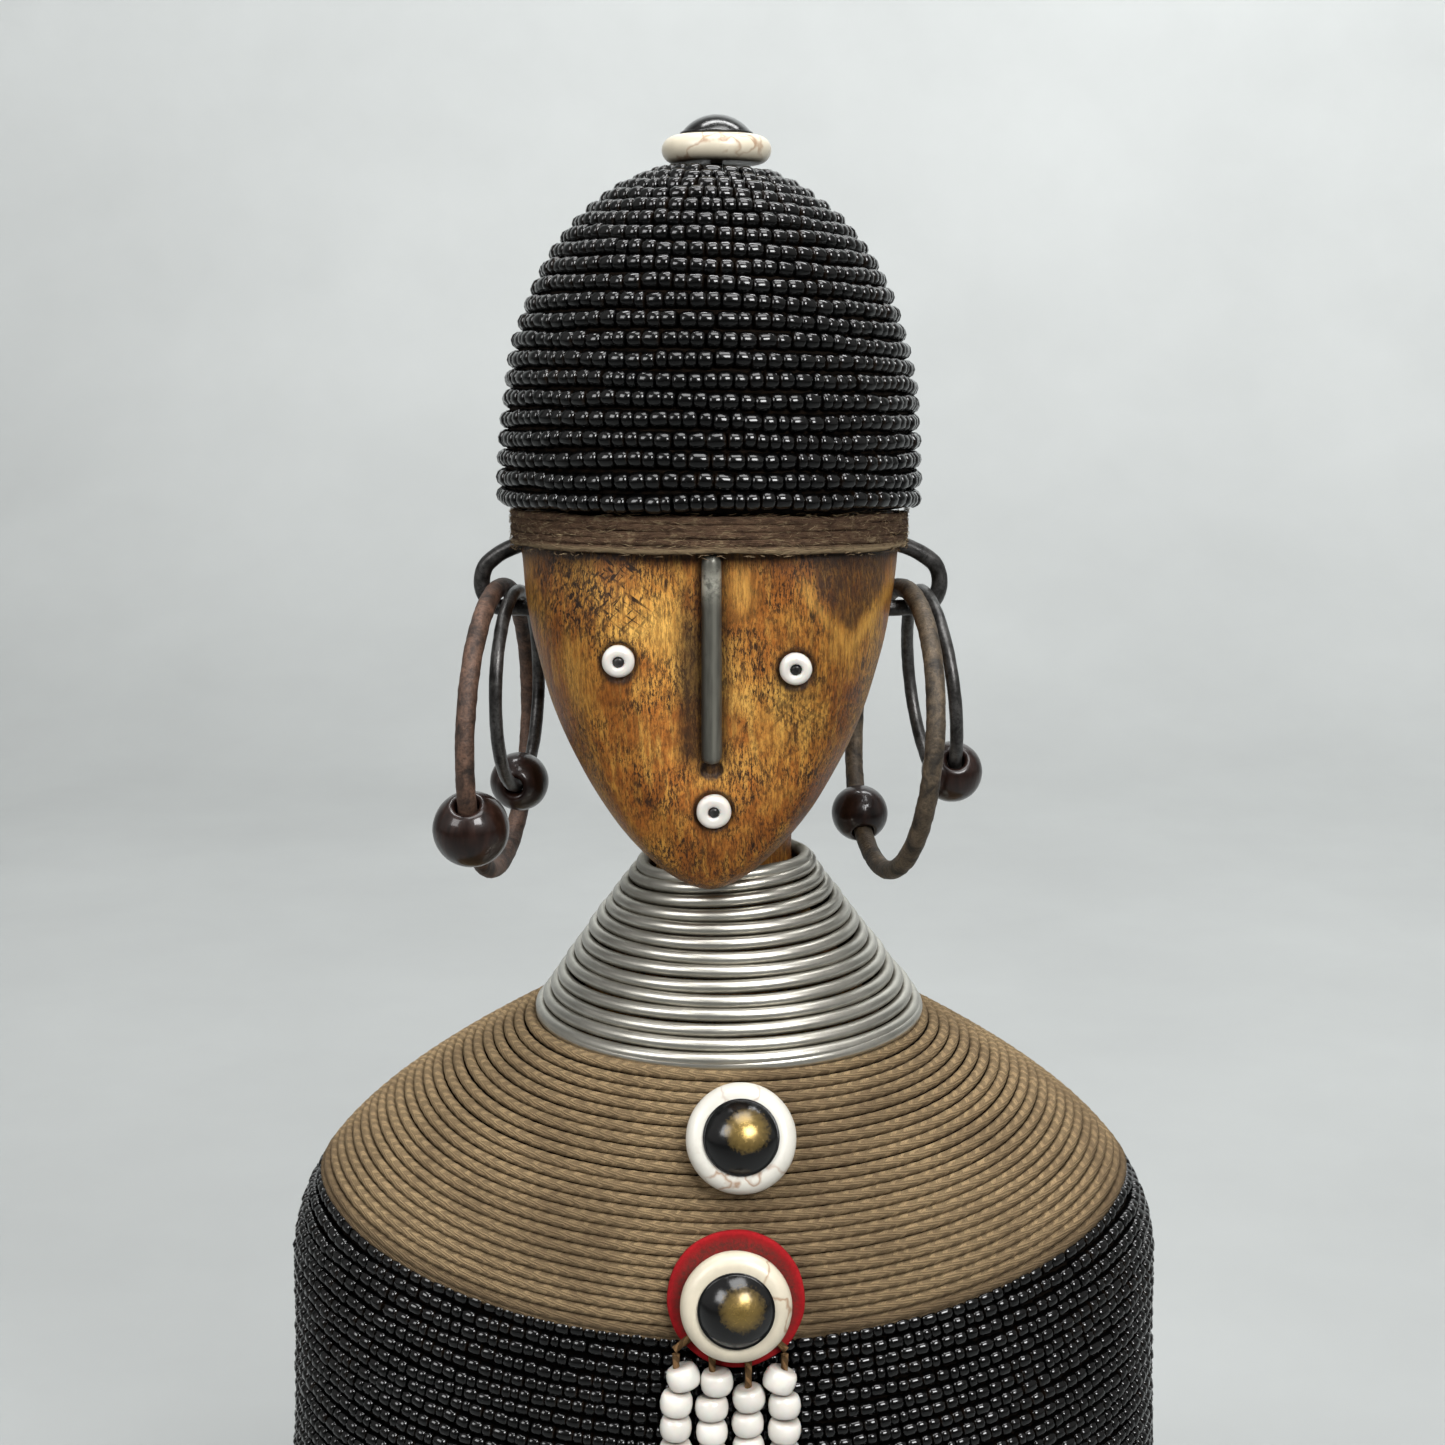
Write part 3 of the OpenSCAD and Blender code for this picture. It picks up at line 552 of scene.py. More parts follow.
def carved_wood(name):
    c = colours()
    f = Finish(name, Specular_IOR_Level=0.22, Coat_Weight=0.06, Coat_Roughness=0.3)
    spots = f.noise(f.place((1, 1, 0.7)), 75, 6, 0.68, 0.5)
    body = f.ramp(spots, [(0.33, shade(c.wood_red, 0.6)), (0.44, c.wood_red), (0.53, c.wood),
                          (0.66, c.wood_light)])
    grain = f.noise(f.place((1, 1, 0.07)), 1500, 6, 0.72, 0.4)
    body = f.mix(f.ramp(grain, [(0.4, 0.7), (0.54, 0.0)]), body, shade(c.wood_red, 0.42))
    pale = f.noise(f.place((1, 1, 0.1), (0, 0.04, 0)), 520, 5, 0.7)
    body = f.mix(f.ramp(pale, [(0.52, 0.0), (0.66, 0.6)]), body, c.wood_light)
    where = f.noise(f.place(), 85, 3, 0.6)
    dense = f.ramp(where, [(0.35, 0.35), (0.58, 1.0)])
    nicks = f.noise(f.place((1, 1, 0.26)), 2700, 4, 0.75, 0.2)
    body = f.mix(f.times(f.ramp(nicks, [(0.43, 1.0), (0.53, 0.0)]), dense), body, shade(c.wood_stain, 0.9))
    flecks = f.noise(f.place((1, 1, 0.24)), 1250, 4, 0.78, 0.3)
    body = f.mix(f.times(f.ramp(flecks, [(0.39, 1.0), (0.45, 0.0)]), dense), body, c.wood_dark)
    lines = f.noise(f.place((0.03, 1, 1), (0, 0.78, 0)), 1300, 2, 0.5)
    cross = f.noise(f.place((0.03, 1, 1), (0, -0.62, 0)), 1200, 2, 0.5)
    thin = [(0.4, 1.0), (0.45, 0.0)]
    hatch = f.math("MAXIMUM", f.ramp(lines, thin), f.ramp(cross, thin))
    broken = f.ramp(f.noise(f.place(), 400, 3, 0.6), [(0.38, 0.2), (0.54, 1.0)])
    body = f.mix(f.times(f.times(hatch, broken), f.mark("scratch")), body, c.wood_dark)
    ragged = f.noise(f.place((1, 1, 0.4)), 900, 5, 0.75)
    stain = f.times(f.mark("patch"), f.ramp(ragged, [(0.42, 1.0), (0.6, 0.6)]))
    body = f.mix(stain, body, c.wood_stain)
    # Dirt together with painted shade under the band, round the sockets and beside the nose bar.
    dirt = f.times(f.mark("grime"), f.ramp(ragged, [(0.4, 1.0), (0.7, 0.75)]))
    body = f.mix(dirt, body, c.wood_dark)
    gold = f.times(f.mark("gold"), f.ramp(grain, [(0.4, 0.35), (0.55, 1.0)]))
    body = f.mix(gold, body, shade(c.wood_light, 1.1))
    # Painted shade: the face darkens towards its left and right edges and its chin, and away from the front.
    f.set("Base Color", f.mix(f.mark("shaded"), body, f.mix(1.0, body, c.wood_shade, "MULTIPLY")))
    f.set("Roughness", f.ramp(spots, [(0.3, 0.36), (0.7, 0.5)]))
    height = f.plus(f.times(grain, 0.6), f.plus(nicks, flecks))
    f.set("Normal", f.bump(height, 0.0004, 0.5))
    return f.material


def bead_ground(name):
    c = colours()
    f = Finish(name, Roughness=0.95, Specular_IOR_Level=0.1)
    fibre = f.noise(f.place((0.2, 0.2, 1)), 1400, 3, 0.7)
    # Thread painted near black as the shade between rows of beads.
    f.set("Base Color", f.ramp(fibre, [(0.3, shade(c.cord, 0.01)), (0.75, shade(c.cord, 0.06))]))
    f.set("Normal", f.bump(fibre, 0.0003, 0.8))
    return f.material


def black_glass(name):
    c = colours()
    f = Finish(name, IOR=1.52, Specular_IOR_Level=0.42)
    dust = f.noise(f.place(), 90, 3, 0.6)
    ends = f.ramp(f.mark("end"), [(0.7, 0.0), (1.0, 0.5)])
    body = f.mix(f.times(ends, f.ramp(dust, [(0.45, 0.0), (0.7, 1.0)])), c.black_glass, shade(c.cord, 0.2))
    f.set("Base Color", body)
    wear = f.noise(f.place(), 700, 2, 0.5)
    gloss = f.plus(f.ramp(wear, [(0.3, 0.05), (0.75, 0.13)]), f.times(f.mark("tone"), 0.06))
    f.set("Roughness", gloss)
    f.set("Normal", f.bump(wear, 0.0002, 0.12))
    return f.material


def laid_cord(name, light, dark, strokes, twist, dirt=0.0, lay_shade=0.75):
    """Twisted cord: fine fibres along the plies, painted shade in the lay, with dirt in patches."""
    f = Finish(name, Roughness=0.95, Specular_IOR_Level=0.12)
    around, along = f.mark("around"), f.mark("along")
    stray = f.times(f.noise(f.place(), 260, 2, 0.5), 9.0)
    lay = f.math("COSINE", f.plus(f.math("MULTIPLY_ADD", around, strokes, stray),
                                  f.times(along, twist * TAU)))
    fibre = f.plus(f.times(around, 9.0), f.times(along, twist * TAU * 4.5))
    spread = f.add("ShaderNodeCombineXYZ", {0: fibre, 1: f.times(along, 260.0), 2: around}).outputs[0]
    hair = f.noise(spread, 1.3, 4, 0.65)
    patches = f.noise(f.place(), 38, 4, 0.62, 0.6)
    body = f.ramp(hair, [(0.25, shade(dark, 0.8)), (0.55, light), (0.8, shade(light, 1.25))])
    fuzz = f.noise(spread, 4.5, 4, 0.75)
    body = f.mix(f.ramp(fuzz, [(0.36, 0.6), (0.52, 0.0)]), body, shade(dark, 0.7))
    body = f.mix(f.ramp(fuzz, [(0.56, 0.0), (0.72, 0.7)]), body, shade(light, 1.6))
    # Painted shade in the lay between the plies.
    body = f.mix(f.ramp(lay, [(0.0, lay_shade), (0.45, 0.0)]), body, shade(dark, 0.55))
    body = f.mix(f.times(f.ramp(patches, [(0.42, 0.0), (0.68, 1.0)]), dirt), body, dark)
    f.set("Base Color", body)
    f.set("Normal", f.bump(f.plus(f.plus(hair, fuzz), f.times(lay, 0.5)), 0.0003, 0.8))
    return f, body


def plain_cord(name, *looks):
    return laid_cord(name, *looks)[0].material


def band_cord(name):
    """Woolly cord, lighter in its lowest turn."""
    c = colours()
    f, body = laid_cord(name, c.band, shade(c.band, 0.35), 2.0, BAND_TWIST, 0.8, 0.3)
    wool = f.noise(f.place((0.4, 0.4, 1)), 800, 5, 0.75, 0.5)
    body = f.mix(f.ramp(wool, [(0.38, 0.75), (0.5, 0.0)]), body, shade(c.band, 0.25))
    body = f.mix(f.ramp(wool, [(0.54, 0.0), (0.68, 0.7)]), body, shade(c.band_light, 0.9))
    body = f.mix(f.math("MULTIPLY", f.mark("low"), 0.7, clamp=True), body, c.band_light)
    # Painted shade in the grooves between turns of the band.
    f.set("Base Color", f.mix(f.times(f.mark("groove"), 0.9), body, shade(c.band, 0.12)))
    return f.material


def shoulder_twine(name):
    c = colours()
    f, body = laid_cord(name, c.twine, c.twine_dark, 2.0, sizes().twine_twist, 0.6, 0.42)
    body = f.mix(f.mark("low"), body, shade(c.twine_dark, 0.8))
    # Painted shade in the grooves between rows of twine.
    f.set("Base Color", f.mix(f.times(f.mark("groove"), 0.9), body, shade(c.twine_dark, 0.35)))
    return f.material


def neck_wire(name):
    c = colours()
    f = Finish(name, Metallic=1.0)
    around, along = f.mark("around"), f.mark("along")
    streak = f.add("ShaderNodeCombineXYZ", {0: f.times(around, 3.0), 1: f.times(along, 25.0)})
    drawn = f.noise(streak.outputs[0], 4.0, 4, 0.6)
    blotch = f.noise(f.place(), 130, 4, 0.6)
    # Dirt with painted shade in the grooves where the turns of wire meet.
    grime = f.times(f.mark("groove"), f.ramp(blotch, [(0.3, 1.0), (0.75, 0.55)]))
    metal = f.ramp(blotch, [(0.3, shade(c.neck_wire, 0.8)), (0.65, c.neck_wire)])
    f.set("Base Color", f.mix(grime, metal, c.grime))
    f.set("Roughness", f.plus(f.ramp(drawn, [(0.3, 0.26), (0.7, 0.42)]), f.times(grime, 0.4)))
    f.set("Normal", f.bump(drawn, 0.0001, 0.15))
    return f.material


def iron(name, main, dark, rusty):
    f = Finish(name, Metallic=0.5 - 0.3 * rusty)
    blotch = f.noise(f.place(), 240, 5, 0.65, 0.4)
    fine = f.noise(f.place(), 1600, 3, 0.7)
    body = f.ramp(blotch, [(0.36, shade(dark, 0.7)), (0.5, main), (0.66, shade(main, 1.7))])
    body = f.mix(f.ramp(fine, [(0.35, 0.7), (0.55, 0.0)]), body, dark)
    f.set("Base Color", body)
    f.set("Roughness", f.ramp(blotch, [(0.3, 0.38 + 0.25 * rusty), (0.7, 0.3 + 0.3 * rusty)]))
    f.set("Normal", f.bump(f.plus(fine, blotch), 0.0003, 0.2 + 0.4 * rusty))
    return f.material


def nose_iron(name):
    """Filed bar, olive grey with fine streaks down its length, a bright rubbed spot, a painted highlight
    right of its middle and painted shadow down its left side.
    """
    c = colours()
    f = Finish(name, Metallic=0.35, Specular_IOR_Level=0.4)
    streak = f.noise(f.place((1, 1, 0.08)), 1300, 4, 0.6)
    blotch = f.noise(f.place(), 420, 4, 0.65)
    body = f.ramp(streak, [(0.35, shade(c.nose, 0.8)), (0.65, shade(c.nose, 1.15))])
    body = f.mix(f.ramp(blotch, [(0.3, 0.5), (0.45, 0.0)]), body, shade(c.nose, 0.5))
    rubbed = f.times(f.mark("worn"), f.ramp(blotch, [(0.42, 0.2), (0.55, 1.0)]))
    # A painted highlight in a stripe right of the middle, and painted shadow down the left side.
    body = f.mix(f.mark("ridge"), body, shade(c.nose, 2.2))
    body = f.mix(f.mark("lee"), body, shade(c.nose, 0.2))
    f.set("Base Color", f.mix(rubbed, body, shade(c.nose, 4.5)))
    f.set("Roughness", f.ramp(streak, [(0.3, 0.36), (0.7, 0.48)]))
    f.set("Normal", f.bump(f.plus(blotch, streak), 0.0001, 0.35))
    return f.material


def cracked_stone(name, body):
    """Cloudy stone with fine cracks in places."""
    c = colours()
    f = Finish(name, Roughness=0.36, Coat_Weight=0.2, Coat_Roughness=0.2)
    at = f.place()
    cloud = f.noise(at, 150, 4, 0.6, 0.3)
    base = f.ramp(cloud, [(0.3, shade(body, 0.86)), (0.6, body)])
    stray = f.add("ShaderNodeTexNoise", {"Vector": at, "Scale": 160.0, "Detail": 3.0}).outputs[1]
    aside = f.add("ShaderNodeVectorMath", {0: stray, "Scale": 0.009}, operation="SCALE").outputs[0]
    bent = f.add("ShaderNodeVectorMath", {0: at, 1: aside}, operation="ADD").outputs[0]
    cells = f.add("ShaderNodeTexVoronoi", {"Vector": bent, "Scale": 75.0, "Randomness": 1.0},
                  feature="DISTANCE_TO_EDGE")
    some = f.noise(at, 60, 2, 0.5)
    crack = f.times(f.ramp(cells.outputs[0], [(0.0, 1.0), (0.035, 0.0)]),
                    f.ramp(some, [(0.45, 0.0), (0.6, 0.8)]))
    f.set("Base Color", f.mix(crack, base, c.crack))
    f.set("Normal", f.bump(f.math("SUBTRACT", cloud, crack), 0.0001, 0.25))
    return f.material


def enamel_dome(name, worn):
    c = colours()
    f = Finish(name)
    rub = f.noise(f.place(), 1300, 5, 0.7)
    fade = f.times(f.plus(f.mark("top"), f.times(f.math("SUBTRACT", rub, 0.5), 0.45)), worn)
    bare = f.ramp(fade, [(0.38, 0.0), (1.0, 0.95)])
    f.set("Base Color", f.mix(bare, c.enamel, c.brass))
    f.set("Metallic", bare)
    f.set("Roughness", f.plus(f.ramp(rub, [(0.3, 0.1), (0.8, 0.26)]), f.times(bare, 0.15)))
    f.set("Normal", f.bump(rub, 0.0001, 0.18))
    return f.material


def red_leather(name):
    c = colours()
    f = Finish(name, Roughness=0.9, Specular_IOR_Level=0.15)
    grain = f.noise(f.place(), 1500, 4, 0.65)
    worn = f.noise(f.place(), 160, 3, 0.6)
    body = f.ramp(worn, [(0.3, shade(c.red, 0.7)), (0.6, c.red)])
    body = f.mix(f.ramp(grain, [(0.35, 0.35), (0.6, 0.0)]), body, shade(c.red, 0.45))
    # Dust and the stone ring's painted shadow on the leather close round the ring.
    dust = f.times(f.mark("inner"), f.ramp(grain, [(0.35, 1.0), (0.65, 0.45)]))
    f.set("Base Color", f.mix(dust, body, c.red_dust_and_shadow))
    f.set("Normal", f.bump(grain, 0.0002, 0.5))
    return f.material


def varnished_wood(name):
    c = colours()
    f = Finish(name, Coat_Weight=0.5, Coat_Roughness=0.1, Specular_IOR_Level=0.2)
    grain = f.noise(f.place((1, 1, 0.25)), 600, 4, 0.6, 0.5)
    body = f.ramp(grain, [(0.3, shade(c.bead_wood, 0.35)), (0.55, c.bead_wood),
                          (0.8, shade(c.bead_wood, 2.4))])
    f.set("Base Color", body)
    f.set("Roughness", f.ramp(grain, [(0.3, 0.3), (0.7, 0.45)]))
    f.set("Normal", f.bump(grain, 0.0003, 0.35))
    return f.material


def white_glass(name):
    c = colours()
    f = Finish(name, IOR=1.5, Subsurface_Weight=0.15, Subsurface_Scale=0.002)
    cloud = f.noise(f.place(), 240, 3, 0.6)
    body = f.ramp(cloud, [(0.3, shade(c.white_glass, 0.9)), (0.65, c.white_glass)])
    # Darker by the tone mark: at random from bead to bead on the pendant, and as painted shade on the eye
    # and mouth beads, which face the lamps.
    body = f.mix(f.times(f.mark("tone"), 0.5), body, shade(c.white_glass, 0.72))
    # Painted shade at the bead ends, where beads meet.
    f.set("Base Color", f.mix(f.ramp(f.mark("end"), [(0.75, 0.0), (1.0, 0.5)]), body, c.cord))
    f.set("Roughness", f.ramp(cloud, [(0.3, 0.12), (0.7, 0.26)]))
    f.set("Normal", f.bump(cloud, 0.0002, 0.2))
    return f.material


def made(name, maker, *args):
    """A material, made on first use."""
    return bpy.data.materials.get(name + "_finish") or maker(name, *args)


def dress(piece, body, slot, *nodes):
    """Ties a finished piece to its body and hides the solids it stands for; its slot is not used."""
    piece.name = piece.data.name = "dressed_" + piece.name.partition(".")[0]
    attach(piece, body)
    if nodes:
        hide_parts(*nodes)
    return piece


# Settings

def colour_setting(name, default, words):
    return FloatVectorProperty(name=name, description=words, default=default, size=3, min=0, max=1,
                               subtype="COLOR")


class DollColours(bpy.types.PropertyGroup):
    """Main colours of the doll's finishes."""
    wood: colour_setting("Wood", (0.66, 0.31, 0.062), "Golden brown of the carved face")
    wood_light: colour_setting("Wood light", (0.82, 0.47, 0.11), "Rubbed yellow streaks of the face")
    wood_red: colour_setting("Wood red", (0.47, 0.165, 0.03), "Reddish patches of the face")
    # Also painted as shade under the band, round the sockets and beside the nose bar.
    wood_dark: colour_setting("Wood dark", (0.024, 0.012, 0.007), "Flecks and grime in the wood")
    wood_stain: colour_setting("Wood stain", (0.06, 0.026, 0.012), "Dark stain on the brow")
    # Tint of the painted shade on the face's edges and chin.
    wood_shade: colour_setting("Wood shade", (0.5, 0.46, 0.36), "Tint of the shadowed edges")
    black_glass: colour_setting("Black glass", (0.0015, 0.0015, 0.0015), "Seed beads")
    cord: colour_setting("Cord", (0.105, 0.055, 0.025), "Brown thread under the beads")
    band: colour_setting("Band", (0.165, 0.098, 0.06), "Woollen cord of the band")
    band_light: colour_setting("Band light", (0.33, 0.25, 0.145), "Lighter strands of the band")
    twine: colour_setting("Twine", (0.42, 0.3, 0.162), "Twine on the shoulders")
    # Used for dirt, and for painted shade in the lay and in the grooves between rows.
    twine_dark: colour_setting("Twine dark", (0.105, 0.07, 0.04), "Dirt and lay of the twine")
    neck_wire: colour_setting("Neck wire", (0.57, 0.55, 0.49), "Aluminium wire")
    # Also painted as shade in the grooves between the turns of wire.
    grime: colour_setting("Grime", (0.06, 0.047, 0.018), "Dirt between the turns of wire")
    iron: colour_setting("Iron", (0.05, 0.048, 0.046), "Ear loops, small rings and pins")
    iron_dark: colour_setting("Iron dark", (0.012, 0.011, 0.010), "Deep tone of the iron")
    nose: colour_setting("Nose", (0.088, 0.086, 0.072), "Nose bar")
    rust: colour_setting("Rust", (0.082, 0.044, 0.028), "Left large ring")
    rust_olive: colour_setting("Olive rust", (0.07, 0.05, 0.03), "Right large ring")
    stone: colour_setting("Stone", (0.58, 0.56, 0.5), "Pale stone discs")
    stone_cream: colour_setting("Stone cream", (0.6, 0.54, 0.42), "Cream stone discs")
    crack: colour_setting("Crack", (0.27, 0.14, 0.065), "Cracks in the stone")
    enamel: colour_setting("Enamel", (0.003, 0.003, 0.003), "Dome nails")
    brass: colour_setting("Brass", (0.4, 0.27, 0.08), "Brass under the worn enamel")
    red: colour_setting("Red", (0.31, 0.008, 0.011), "Leather disc")
    # Dust with the stone ring's painted shadow on the leather.
    red_dust_and_shadow: colour_setting("Red dust", (0.075, 0.022, 0.016), "Rubbed leather beside the stone")
    bead_wood: colour_setting("Bead wood", (0.013, 0.005, 0.0032), "Varnished wooden beads")
    white_glass: colour_setting("White glass", (0.76, 0.73, 0.67), "Pendant, eye and mouth beads")
    pendant_cord: colour_setting("Pendant cord", (0.30, 0.17, 0.075), "Tan cord of the pendant")
    wall: colour_setting("Wall", (0.66, 0.685, 0.68), "Backdrop and floor")


def size_setting(name, default, words):
    return FloatProperty(name=name, description=words, default=default, min=0.0, subtype="DISTANCE",
                         unit="LENGTH")


def count_setting(name, default, low, high, words):
    return IntProperty(name=name, description=words, default=default, min=low, max=high)


class DollSizes(bpy.types.PropertyGroup):
    """Sizes of what is wound and strung."""
    cap_bead_w: size_setting("Cap bead width", 0.0036, "Width of a black bead on the cap")
    cap_bead_l: size_setting("Cap bead length", 0.00295, "Mean length of a black bead on the cap")
    body_bead_w: size_setting("Body bead width", 0.00298, "Width of a black bead on the body")
    body_bead_l: size_setting("Body bead length", 0.00255, "Mean length of a black bead on the body")
    twine_d: size_setting("Twine", 0.0023, "Diameter of the twine")
    band_d: size_setting("Band cord", 0.00178, "Diameter of the cord of the band")
    wire_d: size_setting("Neck wire", 0.0028, "Diameter of the neck wire")
    white_w: size_setting("White bead width", 0.0066, "Width of a pendant bead")
    cap_rows: count_setting("Cap rows", 21, 12, 30, "Rows of beads on the cap")
    body_rows: count_setting("Body rows", 50, 20, 60, "Rows of beads on the body")
    twine_turns: count_setting("Twine turns", 23, 16, 30, "Turns of twine")
    neck_turns: count_setting("Neck turns", 14, 8, 18, "Turns of neck wire")
    twine_twist: FloatProperty(name="Twist", default=300.0,
                               description="Turns of the twine's lay in a metre")


# Operators

class DOLL_OT_stage(bpy.types.Operator):
    """Camera, backdrop and soft studio light"""
    bl_idname = "doll.stage"
    bl_label = "Stage"

    def execute(self, context):
        scene = context.scene
        scene.view_settings.view_transform = "Standard"
        lens = bpy.data.cameras.new("camera")
        lens.sensor_width, lens.lens = 36.0, LENS
        camera = bpy.data.objects.new("camera", lens)
        camera.location = CAMERA_AT
        camera.rotation_euler = (math.radians(90 - CAMERA_DOWN), 0, 0)
        scene.collection.objects.link(camera)
        scene.camera = camera
        self.backdrop(scene)
        for name, place, aim, size, power in (
            ("key_light", (0.5, -0.98, 1.0), (0, 0, 0.25), (0.55, 0.45), 17.0),
            ("left_light", (-0.85, -0.75, 0.95), (0, 0, 0.25), (0.5, 0.6), 8.0),
            ("top_light", (0.1, -0.3, 1.4), (0, 0, 0.25), (0.8, 0.6), 10.5),
            ("wall_light", (0.25, 0.6, 1.9), (0.1, 1.7, 0.45), (1.8, 0.5), 40.0),
        ):
            lamp = bpy.data.lights.new(name, "AREA")
            lamp.shape, lamp.size, lamp.size_y, lamp.energy = "RECTANGLE", *size, power
            light = bpy.data.objects.new(name, lamp)
            light.location = place
            light.rotation_euler = (Vector(aim) - Vector(place)).to_track_quat("-Z", "Y").to_euler()
            scene.collection.objects.link(light)
        return {"FINISHED"}

    def backdrop(self, scene):
        """A floor that curves up into a wall far behind, painted darker low down, to the left and near the
        doll, and a dim sky, brighter above and at the sides.
        """
        tone = colours().wall
        f = Finish("wall", Roughness=1.0, Specular_IOR_Level=0.1)
        plaster = f.noise(f.place(), 4.0, 5, 0.6)
        place = f.add("ShaderNodeSeparateXYZ", {0: f.place()}).outputs
        # Painted falloff of light: the backdrop darkens low down, towards the left and on the floor near the
        # doll.
        height = f.remap(place["Z"], 0.0, 0.9, 0.5, 1.0)
        across = f.remap(place["X"], -0.8, 0.8, 0.92, 1.04)
        near = f.remap(place["Y"], -0.5, 0.25, 0.4, 1.0)
        level = f.times(f.times(height, across), near)
        paint = f.ramp(plaster, [(0.3, shade(tone, 0.94)), (0.7, shade(tone, 1.04))])
        dim = f.add("ShaderNodeCombineXYZ", dict.fromkeys(range(3), level)).outputs[0]
        f.set("Base Color", f.mix(1.0, paint, dim, "MULTIPLY"))
        f.set("Normal", f.bump(plaster, 0.01, 0.2))
        rows = [(-6.0, 0.0), (0.7, 0.0)]
        rows += [(1.1 + 0.6 * math.sin(t), 0.6 - 0.6 * math.cos(t)) for t in np.linspace(0, math.pi / 2, 16)]
        rows += [(1.7, 3.2)]
        points = [(x, y, z - 0.0002) for y, z in rows for x in (-8.0, 8.0)]
        faces = [(2 * k, 2 * k + 1, 2 * k + 3, 2 * k + 2) for k in range(len(rows) - 1)]
        mesh = bpy.data.meshes.new("floor")
        mesh.from_pydata(points, [], faces)
        mesh.polygons.foreach_set("use_smooth", [True] * len(faces))
        mesh.materials.append(f.material)
        floor = bpy.data.objects.new("floor", mesh)
        scene.collection.objects.link(floor)
        world = bpy.data.worlds.new("studio")
        world.use_nodes = True
        scene.world = world
        sky = Nodes(world.node_tree)
        back = sky.tree.nodes["Background"].inputs
        coords = sky.add("ShaderNodeTexCoord").outputs["Generated"]
        way = sky.add("ShaderNodeSeparateXYZ", {0: coords}).outputs
        lit = sky.plus(sky.math("MAXIMUM", way["Z"], 0.0), sky.times(way["X"], way["X"]))
        sky.fill(back["Strength"], sky.math("MULTIPLY_ADD", lit, SKY_GAIN, SKY_LEAST))
        sky.fill(back["Color"], (1.0, 0.99, 0.97))


class DOLL_OT_pendant(bpy.types.Operator):
    """Four strings of white beads, each on its own cord, and the cords' tie round the nail"""
    bl_idname = "doll.pendant"
    bl_label = "Pendant strings"

    def execute(self, context):
        draw = random.Random(11)
        c = colours()
        cord = made("pendant_cord", plain_cord, c.pendant_cord, shade(c.pendant_cord, 0.4),
                    PENDANT_LAY["plies"], PENDANT_LAY["twist"])
        glass = made("white_glass", white_glass)
        shape = bead_shape("white_bead", 18, [
            (0.20, -0.47), (0.30, -0.5), (0.41, -0.42), (0.475, -0.25), (0.5, 0.0),
            (0.475, 0.25), (0.41, 0.42), (0.30, 0.5), (0.20, 0.47)])
        for i in range(4):
            name, hang = f"string_{i + 1}", at_string(i)
            low = STRING_DROP[i] + STRING_COUNT[i] * STRING_BEAD_L + CORD_D
            line = moved([(0, 0, -low * k / 30) for k in range(31)], hang)
            beads = self.beads(name + "_beads", i, hang, shape, glass, draw)
            dress(beads, name, "white_beads", name + "_beads")
            knot = self.knot(name + "_knot", hang, low, cord)
            dress(knot, name, "pendant_cord")
            piece = strand(name + "_cord", line, cord, CORD_D, 10, **PENDANT_LAY)
            dress(piece, name, "pendant_cord", name + "_cord")
        bpy.data.objects.remove(shape)
        self.tie(cord)
        return {"FINISHED"}

    def beads(self, name, i, hang, shape, glass, draw):
        centres, spans = [], []
        for k in range(STRING_COUNT[i]):
            at = -STRING_DROP[i] - (k + 0.5) * STRING_BEAD_L
            centres.append((draw.uniform(-0.12, 0.12), draw.uniform(-0.1, 0.1), at))
            w = sizes().white_w / MM * draw.uniform(0.94, 1.0)
            spans.append((w, w * draw.uniform(0.97, 1.0), STRING_BEAD_L * draw.uniform(0.93, 1.0)))
        runs = np.tile(np.array(hang.to_3x3() @ Vector((0, 0, 1))), (len(centres), 1))
        centres[0] = (centres[0][0] + FIRST_SHIFT[i], centres[0][1], centres[0][2] + 0.2)
        runs[0, 0] += FIRST_TILT[i]
        runs[0] /= np.linalg.norm(runs[0])
        return strung(name, moved(centres, hang), runs, spans, glass, shape, 0.12, 20 + i)

    def knot(self, name, hang, low, cord):
        """A knot under the last bead, drawn as a closed trefoil."""
        turns = round_turn(60)
        r = 0.85 + 0.3 * np.cos(3 * turns)
        x, y, z = r * np.cos(2 * turns), r * np.sin(2 * turns), 0.75 * np.sin(3 * turns) - low + 0.2
        loop = moved(np.stack([x, y, z], 1), hang)
        return strand(name, loop, cord, 0.9 * CORD_D, 10, closed=True, **PENDANT_LAY)

    def tie(self, cord):
        """A loop round the nail and four cords down behind the ring."""
        flat = on_chest(LOWER_X, LOWER_Z) @ raised(CHEST_LIFT + RED_T + TIE_GAP / 2)
        grip = (SHANK_D + CORD_D) / 2 + FIT
        down = RING_D / 2 - 1.5
        turns = round_turn(40)
        loop = moved(np.stack([grip * np.cos(turns), grip * np.sin(turns), 0 * turns], 1), flat)
        parts = [strand("pendant_tie", loop, cord, CORD_D, 10, closed=True, **PENDANT_LAY)]
        for i in range(4):
            x = STRING_X[i] - LOWER_X
            way = np.array((x, -down, 0)) / math.hypot(x, down)
            line = [way * (grip + (math.hypot(x, down) + 0.4 - grip) * k / 16) for k in range(17)]
            parts.append(strand(f"tie_{i}", moved(line, flat), cord, CORD_D, 10, **PENDANT_LAY))
        join(parts)
        dress(parts[0], "figure", "pendant_cord", "pendant_tie")


def join(parts):
    """Joins pieces of one finish into the first of them."""
    with bpy.context.temp_override(active_object=parts[0], selected_editable_objects=parts):
        bpy.ops.object.join()


